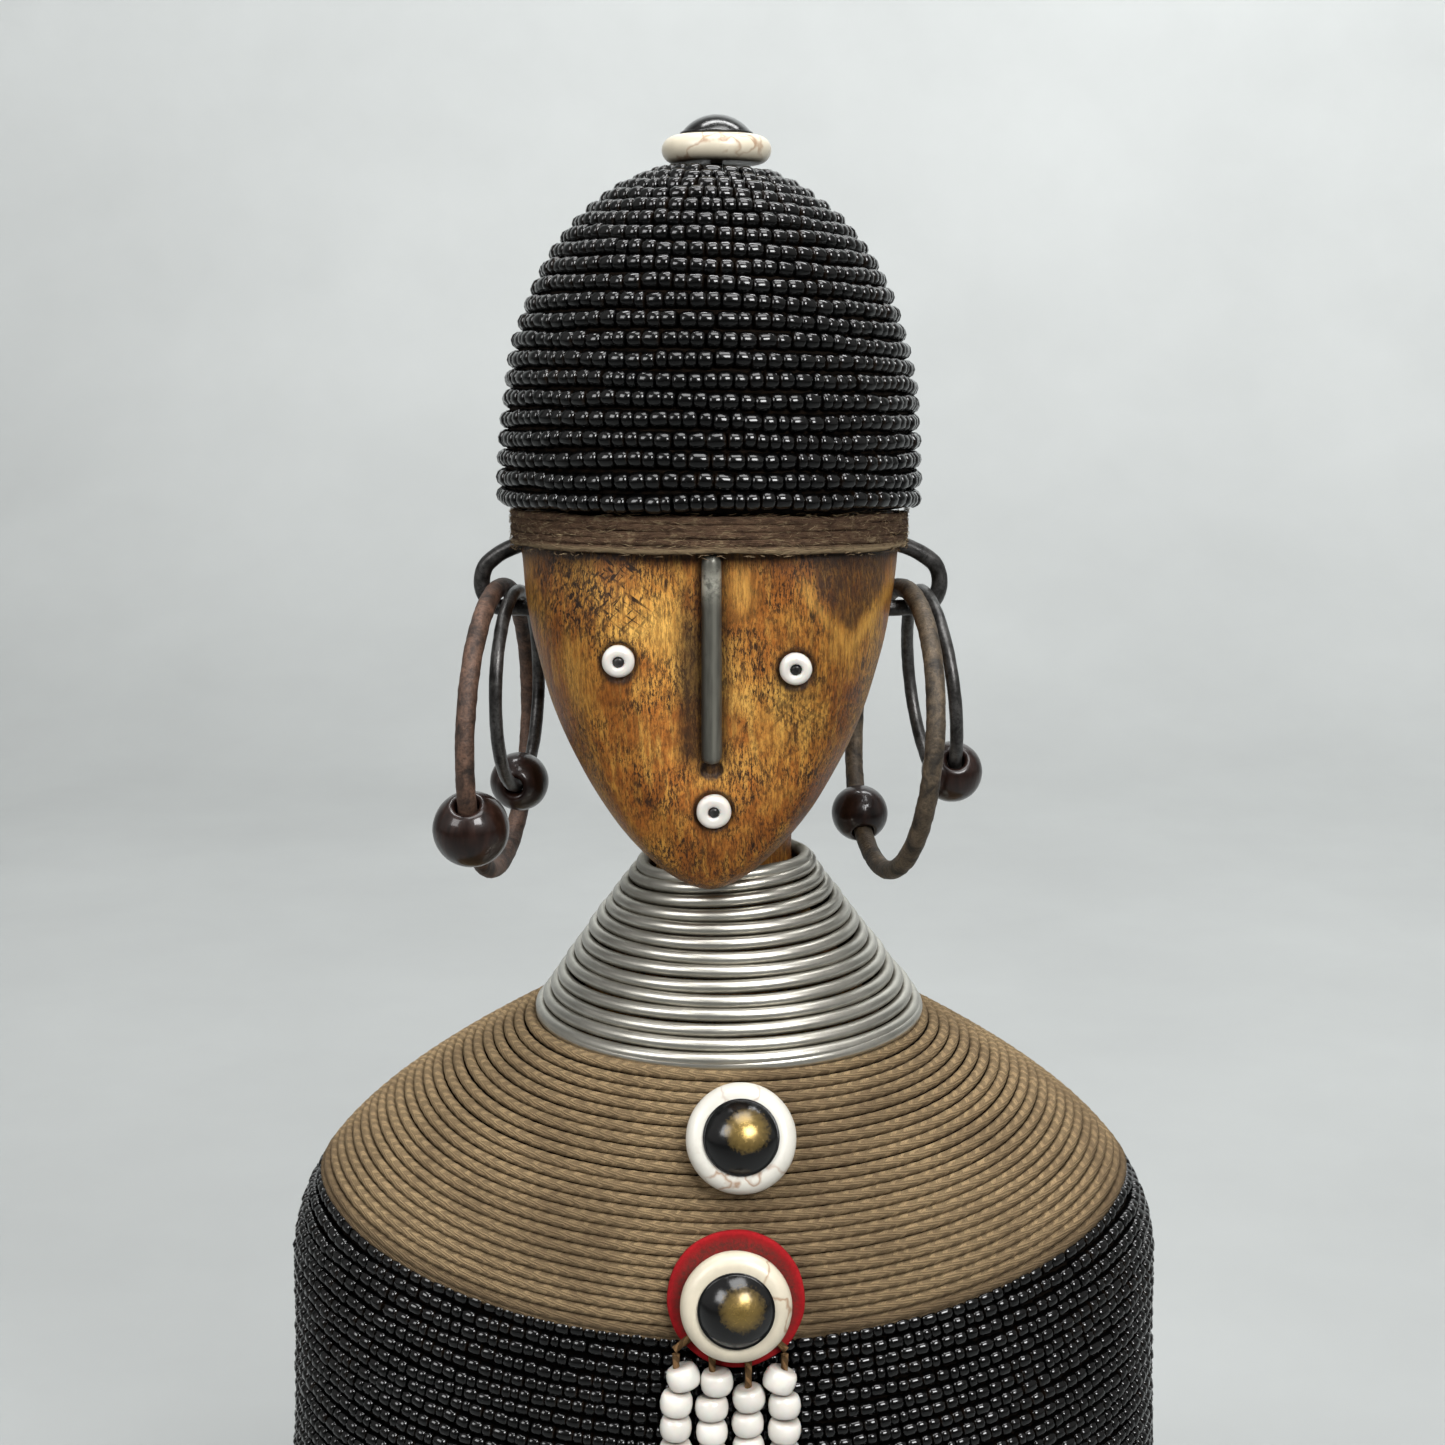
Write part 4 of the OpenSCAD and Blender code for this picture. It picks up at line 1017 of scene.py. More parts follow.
class DOLL_OT_carving(bpy.types.Operator):
    """Carved wooden head with its flat face, and the wooden neck and body under the windings"""
    bl_idname = "doll.carving"
    bl_label = "Carved figure"

    def execute(self, context):
        wood = made("carved_wood", carved_wood)
        dress(self.head(wood), "figure", "carved_wood", "carved_figure")
        dress(self.neck(wood), "figure", "carved_wood", "carved_figure")
        for piece in self.body(wood):
            dress(piece, "figure", "carved_wood", "carved_figure")
        return {"FINISHED"}

    def head(self, wood):
        across, levels = 320, 176
        w = round_turn(across)
        turn = (w - 0.5 * np.sin(w))[None, :]
        u = np.linspace(0, 1, levels)
        h = np.concatenate([[-8.0, -3.0], FACE_H * (1 - (1 - u) ** 1.8)])[:, None]
        below = np.maximum(h, 0)
        s = unit(below / FACE_H)
        back = -math.tan(CHIN_LEAN) * below
        bullet = FACE_R * np.maximum(0, 1 - s ** 1.7) ** 0.62
        nape = np.maximum(NAPE_R - (NAPE_R - NAPE_LOW_R) * below / NAPE_H, 0.0)
        reach = (back * np.cos(turn)) ** 2 - back ** 2 + nape ** 2
        nape_ray = back * np.cos(turn) + np.sqrt(np.maximum(reach, 0))
        nape_ray = np.where((reach > 0) & (below < NAPE_H), nape_ray, 0)
        front = back + FACE_Y - below * math.tan(FACE_SLOPE)
        flat = np.where(np.cos(turn) > 0.05, front / np.maximum(np.cos(turn), 0.05), 1e3)
        tip = unit(bullet / 6)
        ray = smooth_min(smooth_max(bullet, nape_ray, 1.2 * tip), flat, 2.4 * tip)
        ray = np.where(h < 0, np.minimum(ray, NAPE_R), ray)
        ray[-1] = 0
        x, y, z = ray * np.sin(turn), back - ray * np.cos(turn), -h + 0 * turn
        points = np.stack([x, y, z], -1)
        points, marks = self.face_marks(points)
        n = len(h)
        flat_points = points.reshape(-1, 3)[: (n - 1) * across + 1]
        faces = [[r * across + k, r * across + (k + 1) % across, (r + 1) * across + (k + 1) % across,
                  (r + 1) * across + k] for r in range(n - 2) for k in range(across)]
        last = (n - 1) * across
        faces += [[last - across + k, last - across + (k + 1) % across, last] for k in range(across)]
        faces.append(list(range(across)))
        marks = {label: m.reshape(-1)[: last + 1] for label, m in marks.items()}
        return new_piece("carved_head", moved(flat_points, HEAD), faces, wood, marks)

    def face_marks(self, points):
        """Presses the sockets in, waves the carved surface, and marks dirt with painted shade, stain,
        scratches, gold streaks and painted shade on the edges.
        """
        x, h = points[..., 0], -points[..., 2]
        facing = points[..., 1] < -8
        # Dirt with painted shade: darker under the band, round the eye and mouth sockets, beside and under
        # the nose bar, and under the band off the front.
        grime = 0.9 * np.exp(-np.maximum(h, 0) / 2.2)
        depth = np.zeros_like(x)
        for cx, down, d in EYES.values():
            far = np.hypot(x - cx, h - down * math.cos(FACE_SLOPE))
            depth += 0.7 * unit((d / 2 + 0.9 - far) / 0.8)
            grime = np.maximum(grime, 0.95 * np.exp(-((far - d / 2 - 0.3) / 0.75) ** 2))
            below = np.hypot(x - cx, h - (down + 1.6) * math.cos(FACE_SLOPE))
            grime = np.maximum(grime, (0.85 if d < 6.5 else 0.4) * unit((d / 2 + 0.5 - below) / 0.7))
        end = NOSE_END * math.cos(FACE_SLOPE)
        off = np.hypot(np.abs(x - NOSE_X), np.maximum(h - end + 2, 0))
        grime = np.maximum(grime, 0.85 * np.exp(-np.maximum(off - 2.2, 0) / 1.5))
        left = unit((NOSE_X - x) / 2) * unit((44 - h) / 6) * np.clip((h + 4) / 20, 0.35, 1)
        grime = np.maximum(grime, 0.95 * unit((8.2 - off) / 3.2) * left)
        grime = np.maximum(grime, 0.42 * np.exp(-np.maximum(off - 2.2, 0) / 3.2) * (x > NOSE_X))
        pit = np.hypot((x - NOSE_X) / 1.15, h - end - 1.2)
        grime = np.maximum(grime, unit((2.5 - pit) / 0.6))
        depth += 0.9 * unit((2.0 - pit) / 0.8)
        grime = np.where(facing, grime, 0.6 * np.exp(-np.maximum(h, 0) / 4))
        depth += 0.5 * np.exp(-(np.maximum(off - 1.6, 0) / 1.2) ** 2)
        points = points.copy()
        points[..., 1] += np.where(facing, depth, 0)
        corners = np.array(STAIN)
        inside = np.full_like(x, 9.0)
        for p, q in zip(corners, np.roll(corners, -1, 0)):
            edge = (q - p) / np.linalg.norm(q - p)
            inside = np.minimum(inside, edge[0] * (h - p[1]) - edge[1] * (x - p[0]))
        patch = np.where(facing, 0.9 * unit(inside / 1.2 + 0.5), 0)
        brow = unit((x + 36) / 6) * unit((-8 - x) / 6) * unit((17 - h) / 5)
        cheek = 0.6 * unit((x - 8) / 6) * unit(1 - np.abs(h - 30) / 9)
        scratch = np.where(facing, np.maximum(brow, cheek), 0)
        gold = 0.5 * np.exp(-((x - 6.5) / 2.2) ** 2 - ((h - 6) / 4.5) ** 2)
        gold = gold + 0.4 * np.exp(-((x + 9) / 2.5) ** 2 - ((h - 14) / 5) ** 2)
        gold = gold + 0.5 * np.exp(-((inside + 1.9) / 1.1) ** 2) * unit((h - 3) / 3)
        gold = np.where(facing, np.clip(gold, 0, 0.8), 0)
        # Painted shade on the left and right edges of the face and towards the chin; parts off the front get
        # a fixed 0.8.
        shaded = np.clip((-x - 19 + 0.3 * h) / 9, 0, 0.9) + np.clip((h - 44) / 16, 0, 1.0)
        shaded = shaded + np.clip((x - 4) / 20, 0, 0.9)
        shaded = np.where(facing, unit(shaded), 0.8)
        flat = points.reshape(-1, 3)
        flat[:] = rough(flat, 0.22, 11.0, 3.0)
        return points, {"grime": grime, "patch": patch, "scratch": scratch, "gold": gold, "shaded": shaded}

    def neck(self, wood):
        profile = [(0, POST_FOOT)]
        profile += [(max(NECK_R - 6.5 - 0.66 * k, POST_R), POST_FOOT + k) for k in np.linspace(0, 38, 20)]
        profile += [(POST_R, POST_JOIN), (POST_R, POST_TOP), (0, POST_TOP)]
        points, faces = turned(profile, 64)
        n = len(points)
        # Dirt and painted shade, the same all over the neck.
        return new_piece("carved_neck", rough(points, 0.15, 6.0, 9.0), faces, wood,
                         {"grime": np.full(n, 0.35), "shaded": np.full(n, 0.8)})

    def body(self, wood):
        """The body's ground under twine and beads, dark with thread and painted shade, and the bare foot."""
        turns = round_turn(120)
        rows = [body_point(row_z(v, turns), turns, 2.1 + 0 * turns) for v in np.linspace(0, 0.97, 16)]
        rows += [body_point(row_z(v, turns), turns, 2.3 + 0 * turns) for v in np.linspace(0.99, 2, 40)]
        ground = new_piece("carved_body", *skin(rows), made("bead_ground", bead_ground))
        rim = body_point(FOOT_H + 0 * turns, turns, 2.6 + 0 * turns)
        rows = []
        for z, inset in ((FOOT_H - 0.1, 0.4), (FOOT_H - 0.5, 0.0), (2.0, 0.0), (0.5, 0.15), (0.0, 0.8)):
            ring = rim * np.array((1 - inset / HALF_W, 1 - inset / HALF_D, 1))
            ring[:, 2] = z
            rows.append(ring)
        points, faces = skin(rows)
        # Dirt, scratches and painted shade, the same all over the foot.
        marks = {label: np.full(len(points), 0.3) for label in ("grime", "scratch", "shaded")}
        return ground, new_piece("carved_foot", points, faces, wood, marks)


def skin(rows):
    """Points and faces of a closed skin over rings of equal count, with flat ends."""
    k = len(rows[0])
    faces = [[r * k + j, r * k + (j + 1) % k, (r + 1) * k + (j + 1) % k, (r + 1) * k + j]
             for r in range(len(rows) - 1) for j in range(k)]
    faces += [list(range(k)), list(range(len(rows) * k - k, len(rows) * k))]
    return np.concatenate(rows), faces


def stepped(t):
    """Turns that keep level and climb to the next row in their last part, at the back."""
    part = unit((t % 1 - CLIMB_FROM) / CLIMB)
    return np.floor(t) + part * part * (3 - 2 * part)


def bead_lengths(seed, count, mean, spread):
    draw = np.random.default_rng(seed)
    return np.clip(draw.normal(mean, spread, count), 0.7 * mean, 1.6 * mean)


def bead_sizes(seed, lengths, width):
    draw = np.random.default_rng(seed)
    w = width * draw.uniform(0.93, 1.05, len(lengths))
    return np.stack([w, w, lengths * 0.97], 1)


class DOLL_OT_cap(bpy.types.Operator):
    """Black bead string wound round the head, its thread, the crown disc and the crown nail"""
    bl_idname = "doll.cap"
    bl_label = "Bead cap"

    def execute(self, context):
        rows, w, mean = sizes().cap_rows, sizes().cap_bead_w / MM, sizes().cap_bead_l / MM
        shape = bead_shape("seed_bead", 10, SEED_BEAD)
        t = np.linspace(-ROW_LEAD, rows, rows * 300)
        turn = TAU * (t - ROW_START)
        v = CAP_FIRST + CAP_SPAN * np.maximum(stepped(t), 0) / rows
        wave = 0.004 * np.sin(3 * turn + 0.8 * t) + 0.003 * np.sin(7 * turn + 1.9 * t)
        line = cap_point(v + 0.6 * wave, turn, BEAD_SINK * w)
        centres, runs, lengths = along_line(line, bead_lengths(5, 2400, mean, 0.45))
        draw = np.random.default_rng(6)
        centres = centres + draw.normal(0, 0.09, centres.shape)
        head = np.array(HEAD.to_3x3())
        beads = strung("cap_beads", moved(centres, HEAD), runs @ head.T, bead_sizes(7, lengths, w),
                       made("black_glass", black_glass), shape, 0.1, 3)
        bpy.data.objects.remove(shape)
        dress(beads, "figure", "black_beads", "cap_beads")
        ground = made("bead_ground", bead_ground)
        half = cap_point(v[::4] + 0.5 * CAP_SPAN / rows, turn[::4], CAP_GROUND)
        c = colours()
        # Thread painted dark as shade between the rows of cap beads.
        cord = made("bead_thread", plain_cord, shade(c.cord, 0.14), shade(c.cord, 0.05), 2.0, 300.0)
        thread = strand("cap_thread", moved(half, HEAD), cord, 1.2, 6, wound=True)
        dress(thread, "figure", "black_beads", "cap_beads")
        profile = [(0, CAP_Z - 0.5), (39.0, CAP_Z - 0.5)]
        steps = np.linspace(0, 0.96, 40)
        inner = cap_point(steps, np.pi / 2 + 0 * steps, CAP_GROUND)
        profile += [(max(p[0] - CROWN_SHIFT * 0.5, 0.5), p[2]) for p in inner] + [(0, inner[-1][2] + 0.2)]
        points, faces = turned(profile, 96)
        under = new_piece("cap_ground", moved(points + np.array((0.4, 0, 0)), HEAD), faces, ground)
        dress(under, "figure", "black_beads", "cap_beads")
        self.crown()
        return {"FINISHED"}

    def crown(self):
        top = HEAD @ Matrix.Translation((CROWN_SHIFT, 0, CROWN_Z))
        disc = stone_disc("crown_disc", 22.0, top, made("cream_stone", cracked_stone, colours().stone_cream))
        dress(disc, "figure", "pale_stone", "crown_disc")
        nail = dome_nail("crown_nail", top @ raised(DISC_T + FIT), DISC_T + 14.0,
                         made("black_dome", enamel_dome, 0.0))
        dress(nail, "figure", "black_dome", "crown_nail")


def stone_disc(name, d, at, material):
    """A disc with a full round rim and a small hole."""
    hole = SHANK_D / 2 + FIT
    r = DISC_T / 2
    profile = [(hole, 0.25), (hole + 0.25, 0.0)] + arc(r, d / 2 - r, r, -90, 90, 18)
    profile += [(hole + 0.25, DISC_T), (hole, DISC_T - 0.25)]
    points, faces = ring_turned(profile, 96)
    return new_piece(name, moved(rough(points, 0.1, 7.0, len(name)), at), faces, material)


def dome_nail(name, at, shank, material):
    """A domed nail head with a rolled edge, on its shank."""
    r = (DOME_H ** 2 + DOME_D ** 2 / 4) / (2 * DOME_H)
    rim = DOME_D / 2
    profile = [(0, -shank), (0.3, -shank + 0.2), (SHANK_D / 2, -shank + 3.0), (SHANK_D / 2, 0.02)]
    profile += [(rim - 0.5, 0.0), (rim - 0.1, 0.08), (rim, 0.35), (rim - 0.12, 0.65)]
    half = math.asin((rim - 0.25) / r)
    profile += [(r * math.sin(t), DOME_H - r + r * math.cos(t)) for t in np.linspace(half, 0.03, 22)]
    profile.append((0, DOME_H))
    points, faces = turned(profile, 72)
    top = unit(1 - np.hypot(points[:, 0] - 0.16 * rim, points[:, 1] - 0.14 * rim) / rim)
    top[points[:, 2] < 0.3] = 0
    return new_piece(name, moved(points, at), faces, material, {"top": top})


class DOLL_OT_band(bpy.types.Operator):
    """Cord wound round the brow, with loose fibres"""
    bl_idname = "doll.band"
    bl_label = "Brow band"

    def execute(self, context):
        d, turns = sizes().band_d / MM, BAND_TURNS
        t = np.linspace(0, turns, turns * 300)
        turn = TAU * t + np.pi
        pitch = BAND_H / turns
        z = BAND_TOP - pitch * (t * (turns - 1) / turns + 0.5)
        wave = 0.12 * np.sin(5 * turn + 3 * t) + 0.1 * np.sin(11 * turn - 4 * t)
        r = BAND_R - d / 2 + 0.1 * np.sin(4 * turn + t)
        line = np.stack([r * np.sin(turn), -r * np.cos(turn), z + wave], 1)
        cord = made("band_cord", band_cord)
        band = strand("cap_cord_band", moved(line, HEAD), cord, d, 9, plies=2.0, twist=BAND_TWIST,
                      relief=0.05, dents=0.3, dent_size=1.0, wound=True)
        to_head = HEAD.inverted()
        mark(band, "low", lambda p: unit((2.4 - moved(p, to_head)[:, 2]) / 0.5))
        # Depth in the grooves between turns, where shade is painted.
        mark(band, "groove", lambda p: unit(
            (BAND_R - 0.2 * d - np.hypot(*moved(p, to_head)[:, :2].T)) / (0.3 * d)))
        dress(band, "figure", "dark_cord", "cap_cord_band")
        dress(self.fibres(cord), "figure", "dark_cord")
        return {"FINISHED"}

    def fibres(self, material):
        """Short loose hairs standing off the band."""
        draw = random.Random(4)
        points, faces = [], []
        half, thick = Vector((0, 0, 0.06)), 0.045
        for _ in range(2600):
            turn, z = draw.uniform(0, TAU), draw.uniform(0.5, 8.8)
            out = Vector((math.sin(turn), -math.cos(turn), 0))
            side = Vector((math.cos(turn), math.sin(turn), 0))
            start = out * (BAND_R - 0.25) + Vector((0, 0, z))
            bend = side * draw.uniform(-2.6, 2.6) + Vector((0, 0, draw.uniform(-0.9, 0.9)))
            tip = start + out * draw.choice((0.12, 0.2, 0.3, 0.6)) + bend
            middle = (start + tip) / 2 + out * 0.2
            n = len(points)
            for p, taper in ((start, 1.0), (middle, 0.9)):
                under = p - half * taper * 0.6
                points += [p + half * taper, under + out * thick, under - out * thick]
            points.append(tip)
            faces += [[n, n + 1, n + 2]]
            for a, b in ((0, 1), (1, 2), (2, 0)):
                faces += [[n + a, n + b, n + 3 + b, n + 3 + a], [n + 3 + a, n + 3 + b, n + 6]]
        n = len(points)
        marks = {label: np.zeros(n) for label in ("groove", "along", "around")}
        marks["low"] = np.repeat(np.random.default_rng(9).uniform(-0.3, 1.2, n // 7), 7)
        return new_piece("band_fibres", moved([tuple(p) for p in points], HEAD), faces, material, marks)


def mark(piece, label, rule):
    """Marks a piece by a rule on its points in millimetres."""
    mesh = piece.data
    co = np.zeros(len(mesh.vertices) * 3, np.float32)
    mesh.vertices.foreach_get("co", co)
    mesh.attributes.new(label, "FLOAT", "POINT").data.foreach_set(
        "value", np.asarray(rule(co.reshape(-1, 3) / MM), np.float32))


def under_surface(p):
    """Depth of points under the body's surface."""
    a, b = wide(p[:, 2]), deep(p[:, 2])
    q = np.hypot(p[:, 0] / a, p[:, 1] / b)
    side = (p[:, 0] / a) ** 2 / np.maximum(q * q, 1e-6)
    fall = side * slope(wide, p[:, 2]) + (1 - side) * slope(deep, p[:, 2])
    return np.hypot(p[:, 0], p[:, 1]) * (1 / np.maximum(q, 1e-6) - 1) / np.hypot(1, fall)


class DOLL_OT_neck(bpy.types.Operator):
    """Aluminium wire coiled up the neck"""
    bl_idname = "doll.neck"
    bl_label = "Neck coil"

    def execute(self, context):
        turns, d = sizes().neck_turns, sizes().wire_d / MM
        t = np.linspace(-WIRE_LEAD, turns - 0.06, turns * 116)
        v = unit((t - 0.4) / (turns - 1.2))
        turn = TAU * t + np.pi
        loose = unit((v - 0.66) / 0.34)
        r = NECK_R - d / 2 - v * (NECK_R - NECK_TOP_R) + 0.12 * np.sin(3 * turn + 1.7 * t)
        z = SHOULDER_Z + d / 2 - 0.3 + v * (NECK_H - d) + 0.12 * np.sin(2 * turn + 2.3 * t)
        z = z + WIRE_DROP * np.minimum(t, 0)
        x = r * np.sin(turn)
        z = z + loose * (0.05 * x + 0.35 * np.sin(turn * 2 + 1.0))
        line = np.stack([x + NECK_SHIFT * (1 - v), -r * np.cos(turn), z], 1)
        metal = made("neck_wire", neck_wire)
        wire = strand("neck_coil", line, metal, d, 14, dents=0.12, dent_size=5.0, wound=True)
        # Depth in the grooves between turns, darkened with dirt and painted shade.
        mark(wire, "groove", lambda p: unit((self.under_cone(p, d) - 0.06 * d) / (0.4 * d)))
        dress(wire, "figure", "neck_wire", "neck_coil")
        return {"FINISHED"}

    def under_cone(self, p, d):
        """Depth of points under the cone that touches the turns."""
        v = unit((p[:, 2] - SHOULDER_Z - d / 2) / (NECK_H - d))
        cone = NECK_R - v * (NECK_R - NECK_TOP_R)
        lean = math.atan2(NECK_R - NECK_TOP_R, NECK_H - d)
        return (cone - np.hypot(p[:, 0] - NECK_SHIFT * (1 - v), p[:, 1])) * math.cos(lean)


class DOLL_OT_shoulders(bpy.types.Operator):
    """Twine wound round the shoulders"""
    bl_idname = "doll.shoulders"
    bl_label = "Shoulder twine"

    def execute(self, context):
        turns, d, twist = sizes().twine_turns, sizes().twine_d / MM, sizes().twine_twist
        twine = made("shoulder_twine", shoulder_twine)
        t = np.linspace(-TWINE_TUCK, turns + TWINE_TUCK, 16000)
        draw = np.random.default_rng(8)
        drift = np.interp(t, np.linspace(0, turns, 140), draw.normal(0, 0.16, 140))
        tucked = np.maximum(0, -t) + np.maximum(0, t - turns)
        turn = TAU * t + np.pi
        v = unit((t + 0.12 * drift) / turns)
        line = body_point(row_z(v, turn), turn, d / 2 - 0.12 + 0.06 * drift + TUCK_DEPTH * tucked)
        run = run_along(line)
        even = np.arange(0, run[-1], 0.56)
        line = at_run(line, run, even)
        share = np.interp(even, run, v)
        half = np.searchsorted(share, 0.62)
        for name, part in (("shoulder_twine_upper", line[:half + 1]), ("shoulder_twine_lower", line[half:])):
            piece = strand(name, part, twine, d, 8, plies=2.0, twist=twist, relief=0.03,
                           dents=0.26, dent_size=0.9, wound=True)
            mark(piece, "low", self.last_turns)
            # Depth in the grooves between rows, where shade is painted.
            mark(piece, "groove", lambda p: unit((under_surface(p) - 0.3 * d) / (0.35 * d)))
            dress(piece, "figure", "twine", "shoulder_twine")
        return {"FINISHED"}

    def last_turns(self, p):
        """1 on the last turns of twine, which are the darkest."""
        turn = np.arctan2(p[:, 0], -p[:, 1] * HALF_W / HALF_D)
        edge = row_z(np.ones(len(p)), turn)
        return 0.6 * unit((edge + 3.6 - p[:, 2]) / 2.2)


class DOLL_OT_body_beads(bpy.types.Operator):
    """Black bead string wound round the body down to the foot"""
    bl_idname = "doll.body_beads"
    bl_label = "Body beads"

    def execute(self, context):
        rows, w, mean = sizes().body_rows, sizes().body_bead_w / MM, sizes().body_bead_l / MM
        shape = bead_shape("seed_bead", 8, SEED_BEAD)
        t = np.linspace(-ROW_LEAD, rows - 0.1, rows * 400)
        turn = TAU * (t - ROW_START)
        v = 1 + (np.clip(stepped(t), 0, rows - 1) + 0.4) / rows
        wave = 0.0014 * np.sin(5 * turn + 0.9 * t) + 0.001 * np.sin(13 * turn + 1.7 * t)
        line = body_point(row_z(v + wave, turn), turn, BEAD_SINK * w + 0 * t)
        centres, runs, lengths = along_line(line, bead_lengths(15, 12500, mean, 0.5))
        draw = np.random.default_rng(16)
        centres = centres + draw.normal(0, 0.08, centres.shape)
        spans = bead_sizes(17, lengths, w)
        glass = made("black_glass", black_glass)
        parts = 6
        for k in range(parts):
            pick = slice(len(centres) * k // parts, len(centres) * (k + 1) // parts)
            piece = strung(f"body_beads_{k + 1}", centres[pick], runs[pick], spans[pick], glass, shape,
                           0.09, 30 + k)
            dress(piece, "figure", "black_beads", "body_beads")
        bpy.data.objects.remove(shape)
        return {"FINISHED"}


class DOLL_OT_face(bpy.types.Operator):
    """Nose bar, and ring beads with their pins for eyes and mouth"""
    bl_idname = "doll.face"
    bl_label = "Face fittings"

    def execute(self, context):
        c = colours()
        glass = made("white_glass", white_glass)
        metal = made("dark_iron", iron, c.iron, c.iron_dark, 0.0)
        for name, (x, down, d) in EYES.items():
            at = on_face(x, down)
            profile = [(1.12, 0.35), (1.3, 0.08)]
            profile += arc(1.05, d / 2 - 1.05, 1.05, -80, 0, 5) + [(d / 2, 1.55)]
            profile += arc(1.15, d / 2 - 1.15, 1.65, 0, 80, 7) + [(1.55, 2.74), (1.3, 2.6), (1.12, 2.3)]
            points, faces = ring_turned(profile, 56)
            points = rough(points, 0.07, 2.5, x) + np.array((0, 0, -1.08))
            # Full tone mark: painted shade on the eye and mouth beads.
            marks = {"tone": np.ones(len(points)), "end": np.zeros(len(points))}
            bead = new_piece(name + "_bead", moved(points, at), faces, glass, marks)
            dress(bead, "figure", "white_beads", name + "_bead")
            profile = [(0, -8.8), (0.6, -8.6), (1.0, -7.0), (1.0, 0.9), (0.9, 1.15), (0.5, 1.3), (0, 1.34)]
            points, faces = turned(profile, 24)
            pin = new_piece(name + "_pin", moved(points, at), faces, metal)
            dress(pin, "figure", "dark_iron", name + "_pin")
        self.nose(made("nose_iron", nose_iron))
        return {"FINISHED"}

    def nose(self, metal):
        """A forged bar, a little thicker at its rounded lower end."""
        span = NOSE_END - NOSE_TOP
        profile = [(0, 0)]
        for k in range(1, 60):
            s = k / 60 * span
            r = NOSE_D / 2 * (0.93 + 0.07 * s / span)
            edge = min(s, span - s)
            profile.append((r * math.sqrt(1 - max(0, 1 - edge / r) ** 2), -s))
        profile.append((0, -span))
        points, faces = turned(profile[::-1], 32)
        points[:, 2] += NOSE_UNDER * unit((points[:, 2] + 8) / 8)
        points = rough(points, 0.08, 6.0, 2.0)
        lie = on_face(NOSE_X, NOSE_TOP) @ raised(NOSE_LIFT) @ spin(-90, "X")
        across = points[:, 0] / NOSE_D * 2
        # A worn spot near the top, painted shadow down the left side and a painted highlight stripe right of
        # the middle.
        marks = {"worn": np.exp(-((points[:, 2] + 4.0) / 2.6) ** 2),
                 "lee": 0.85 * unit((-0.45 - across) / 0.4),
                 "ridge": 0.7 * np.exp(-((across - 0.28) / 0.2) ** 2)}
        bar = new_piece("nose_bar", moved(points, lie), faces, metal, marks)
        dress(bar, "figure", "dark_iron", "nose_bar")


class DOLL_OT_chest(bpy.types.Operator):
    """Chest discs, their dome nails and the red leather disc"""
    bl_idname = "doll.chest"
    bl_label = "Chest medallions"

    def execute(self, context):
        c = colours()
        worn = made("worn_dome", enamel_dome, 1.0)
        pale = made("pale_stone", cracked_stone, c.stone)
        cream = made("cream_stone", cracked_stone, c.stone_cream)
        upper, lower = on_chest(UPPER_X, UPPER_Z), on_chest(LOWER_X, LOWER_Z)
        lift = CHEST_LIFT + RED_T + TIE_GAP
        for name, at, up, slot, stone, shank in (
            ("upper_chest", upper, CHEST_LIFT, "pale_stone", pale, DISC_T + 11.5),
            ("lower_chest", lower, lift, "cream_stone", cream, lift + DISC_T + 11.5),
        ):
            disc = stone_disc(name + "_ring", RING_D, at @ raised(up), stone)
            dress(disc, "figure", slot, name + "_ring")
            nail = dome_nail(name + "_nail", at @ raised(up + DISC_T + FIT), shank, worn)
            dress(nail, "figure", "worn_dome", name + "_nail")
        hole, r = SHANK_D / 2 + FIT, RED_D / 2
        profile = [(hole, 0.0), (r - 0.3, 0.0), (r, 0.25), (r, RED_T - 0.35), (r - 0.35, RED_T)]
        profile += [(r - inset, RED_T) for inset in (0.8, 1.3, 1.8, 2.3, 2.8, 4.0)] + [(hole, RED_T)]
        points, faces = ring_turned(profile, 120)
        # Leather close round the stone ring, darkened by dust and the ring's painted shadow.
        inner = unit((RING_D / 2 + 2.0 - np.hypot(points[:, 0], points[:, 1])) / 1.6)
        points = moved(rough(points, 0.16, 5.0, 6.0), lower @ raised(CHEST_LIFT))
        disc = new_piece("red_disc", points, faces, made("red_leather", red_leather), {"inner": inner})
        dress(disc, "figure", "red_leather", "red_disc")
        return {"FINISHED"}


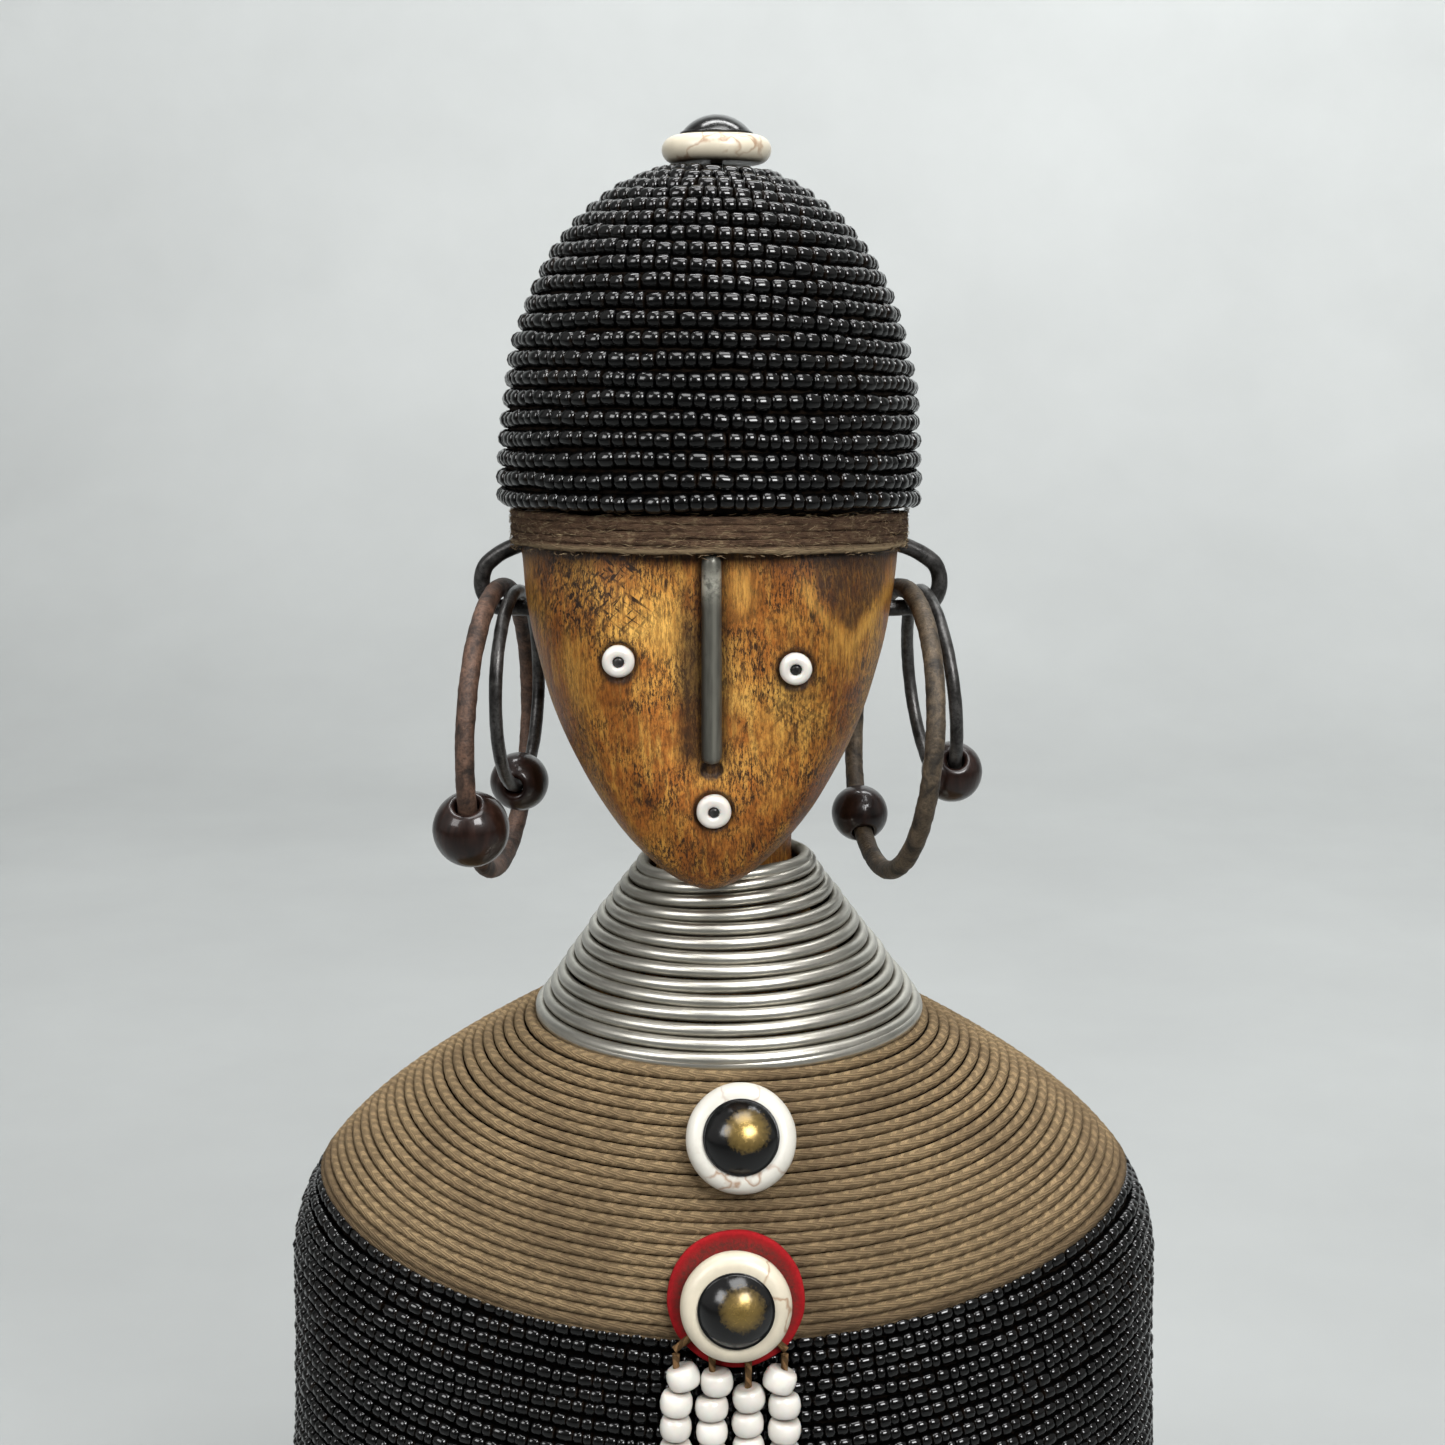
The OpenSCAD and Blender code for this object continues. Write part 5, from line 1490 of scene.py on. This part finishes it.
class DOLL_OT_earrings(bpy.types.Operator):
    """Ear loops, the rings that hang on them and their wooden beads"""
    bl_idname = "doll.earrings"
    bl_label = "Earrings"

    def execute(self, context):
        c = colours()
        dark = made("dark_iron", iron, c.iron, c.iron_dark, 0.0)
        rust = made("rusty_iron", iron, c.rust, shade(c.rust, 0.25), 1.0)
        olive = made("olive_iron", iron, c.rust_olive, shade(c.rust_olive, 0.25), 1.0)
        wood = made("varnished_wood", varnished_wood)
        for side, name in ((-1, "left_ear_loop"), (1, "right_ear_loop")):
            reach = RING_OUT[0 if side < 0 else 3] - PLAY
            line = [(x, 0, -LOOP_R) for x in np.linspace(8.5, -reach + 0.4, 14)]
            line += [(-reach - 0.76 * LOOP_R * math.sin(a), 0, -LOOP_R * math.cos(a))
                     for a in np.linspace(0, math.radians(146), 24)]
            low = np.array(line[-1])
            knee, top = low + np.array((3.2, 0, 2.8)), np.array((0.5, 0, low[2] + 4.2))
            bend = np.linspace(0.08, 1, 12)
            line += [tuple((1 - k) ** 2 * low + 2 * k * (1 - k) * knee + k * k * top) for k in bend]
            loop = strand(name, moved(line, at_ear(side)), dark, 1.05 * LOOP_D, 16, dents=0.3, dent_size=4.0)
            dress(loop, "figure", "dark_iron", name)
        for i, (name, metal) in enumerate(zip(RINGS, (rust, dark, olive, dark))):
            large = i % 2 == 0
            turns = round_turn(240)
            line = np.stack([0 * turns, RING_R[i] * np.sin(turns), RING_R[i] * np.cos(turns)], 1)
            ring = strand(name + "_ring", moved(line, at_ring(i)), metal, WIRE_D[i], 18, closed=True,
                          dents=0.45 if large else 0.25, dent_size=2.2 if large else 3.5)
            dress(ring, name + "_earring", "rusty_iron" if large else "dark_iron", name + "_ring")
            dress(self.bead(i, name, wood), name + "_earring", "dark_wood", name + "_bead")
        return {"FINISHED"}

    def bead(self, i, name, wood):
        """A turned wooden bead with a straight bore, tight on its ring."""
        d, flat = RING_BEAD_D[i], 0.44 * RING_BEAD_D[i]
        sag = RING_R[i] - math.sqrt(RING_R[i] ** 2 - flat ** 2)
        bore = (WIRE_D[i] + sag) / 2 + FIT
        start = math.degrees(math.asin(flat / (d / 2)))
        profile = [(bore, -flat + 0.5), (bore + 0.35, -flat)]
        profile += [p for p in arc(d / 2, 0, 0, -start, start, 26) if p[0] > bore + 0.4]
        profile += [(bore + 0.35, flat), (bore, flat - 0.5)]
        points, faces = ring_turned(profile, 56)
        at = at_ring(i) @ spin(-RING_BEAD_AT[i], "X") @ raised(-RING_R[i] + sag / 2) @ spin(90, "X")
        return new_piece(name + "_bead", moved(rough(points, 0.12, 6.0, i + 1.0), at), faces, wood)


PIECES = (DOLL_OT_stage, DOLL_OT_pendant, DOLL_OT_carving, DOLL_OT_cap, DOLL_OT_band, DOLL_OT_neck,
          DOLL_OT_shoulders, DOLL_OT_body_beads, DOLL_OT_face, DOLL_OT_chest, DOLL_OT_earrings)


class DOLL_PT_sidebar(bpy.types.Panel):
    """Lists the doll's pieces and settings"""
    bl_idname = "DOLL_PT_sidebar"
    bl_label = "Doll"
    bl_space_type = "VIEW_3D"
    bl_region_type = "UI"
    bl_category = "Doll"

    def draw(self, context):
        for group in (context.scene.doll_sizes, context.scene.doll_colours):
            for label in group.bl_rna.properties.keys():
                if label not in ("rna_type", "name"):
                    self.layout.prop(group, label)
        for piece in PIECES:
            self.layout.operator(piece.bl_idname)


CLASSES = (DollColours, DollSizes, *PIECES, DOLL_PT_sidebar)


def register():
    for cls in CLASSES:
        bpy.utils.register_class(cls)
    bpy.types.Scene.doll_colours = PointerProperty(type=DollColours)
    bpy.types.Scene.doll_sizes = PointerProperty(type=DollSizes)


def unregister():
    del bpy.types.Scene.doll_sizes
    del bpy.types.Scene.doll_colours
    for cls in reversed(CLASSES):
        bpy.utils.unregister_class(cls)


def main():
    register()
    for name in ("stage", "pendant", "carving", "cap", "band", "neck", "shoulders", "body_beads", "face",
                 "chest", "earrings"):
        getattr(bpy.ops.doll, name)()
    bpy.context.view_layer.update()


if __name__ == "__main__":
    main()
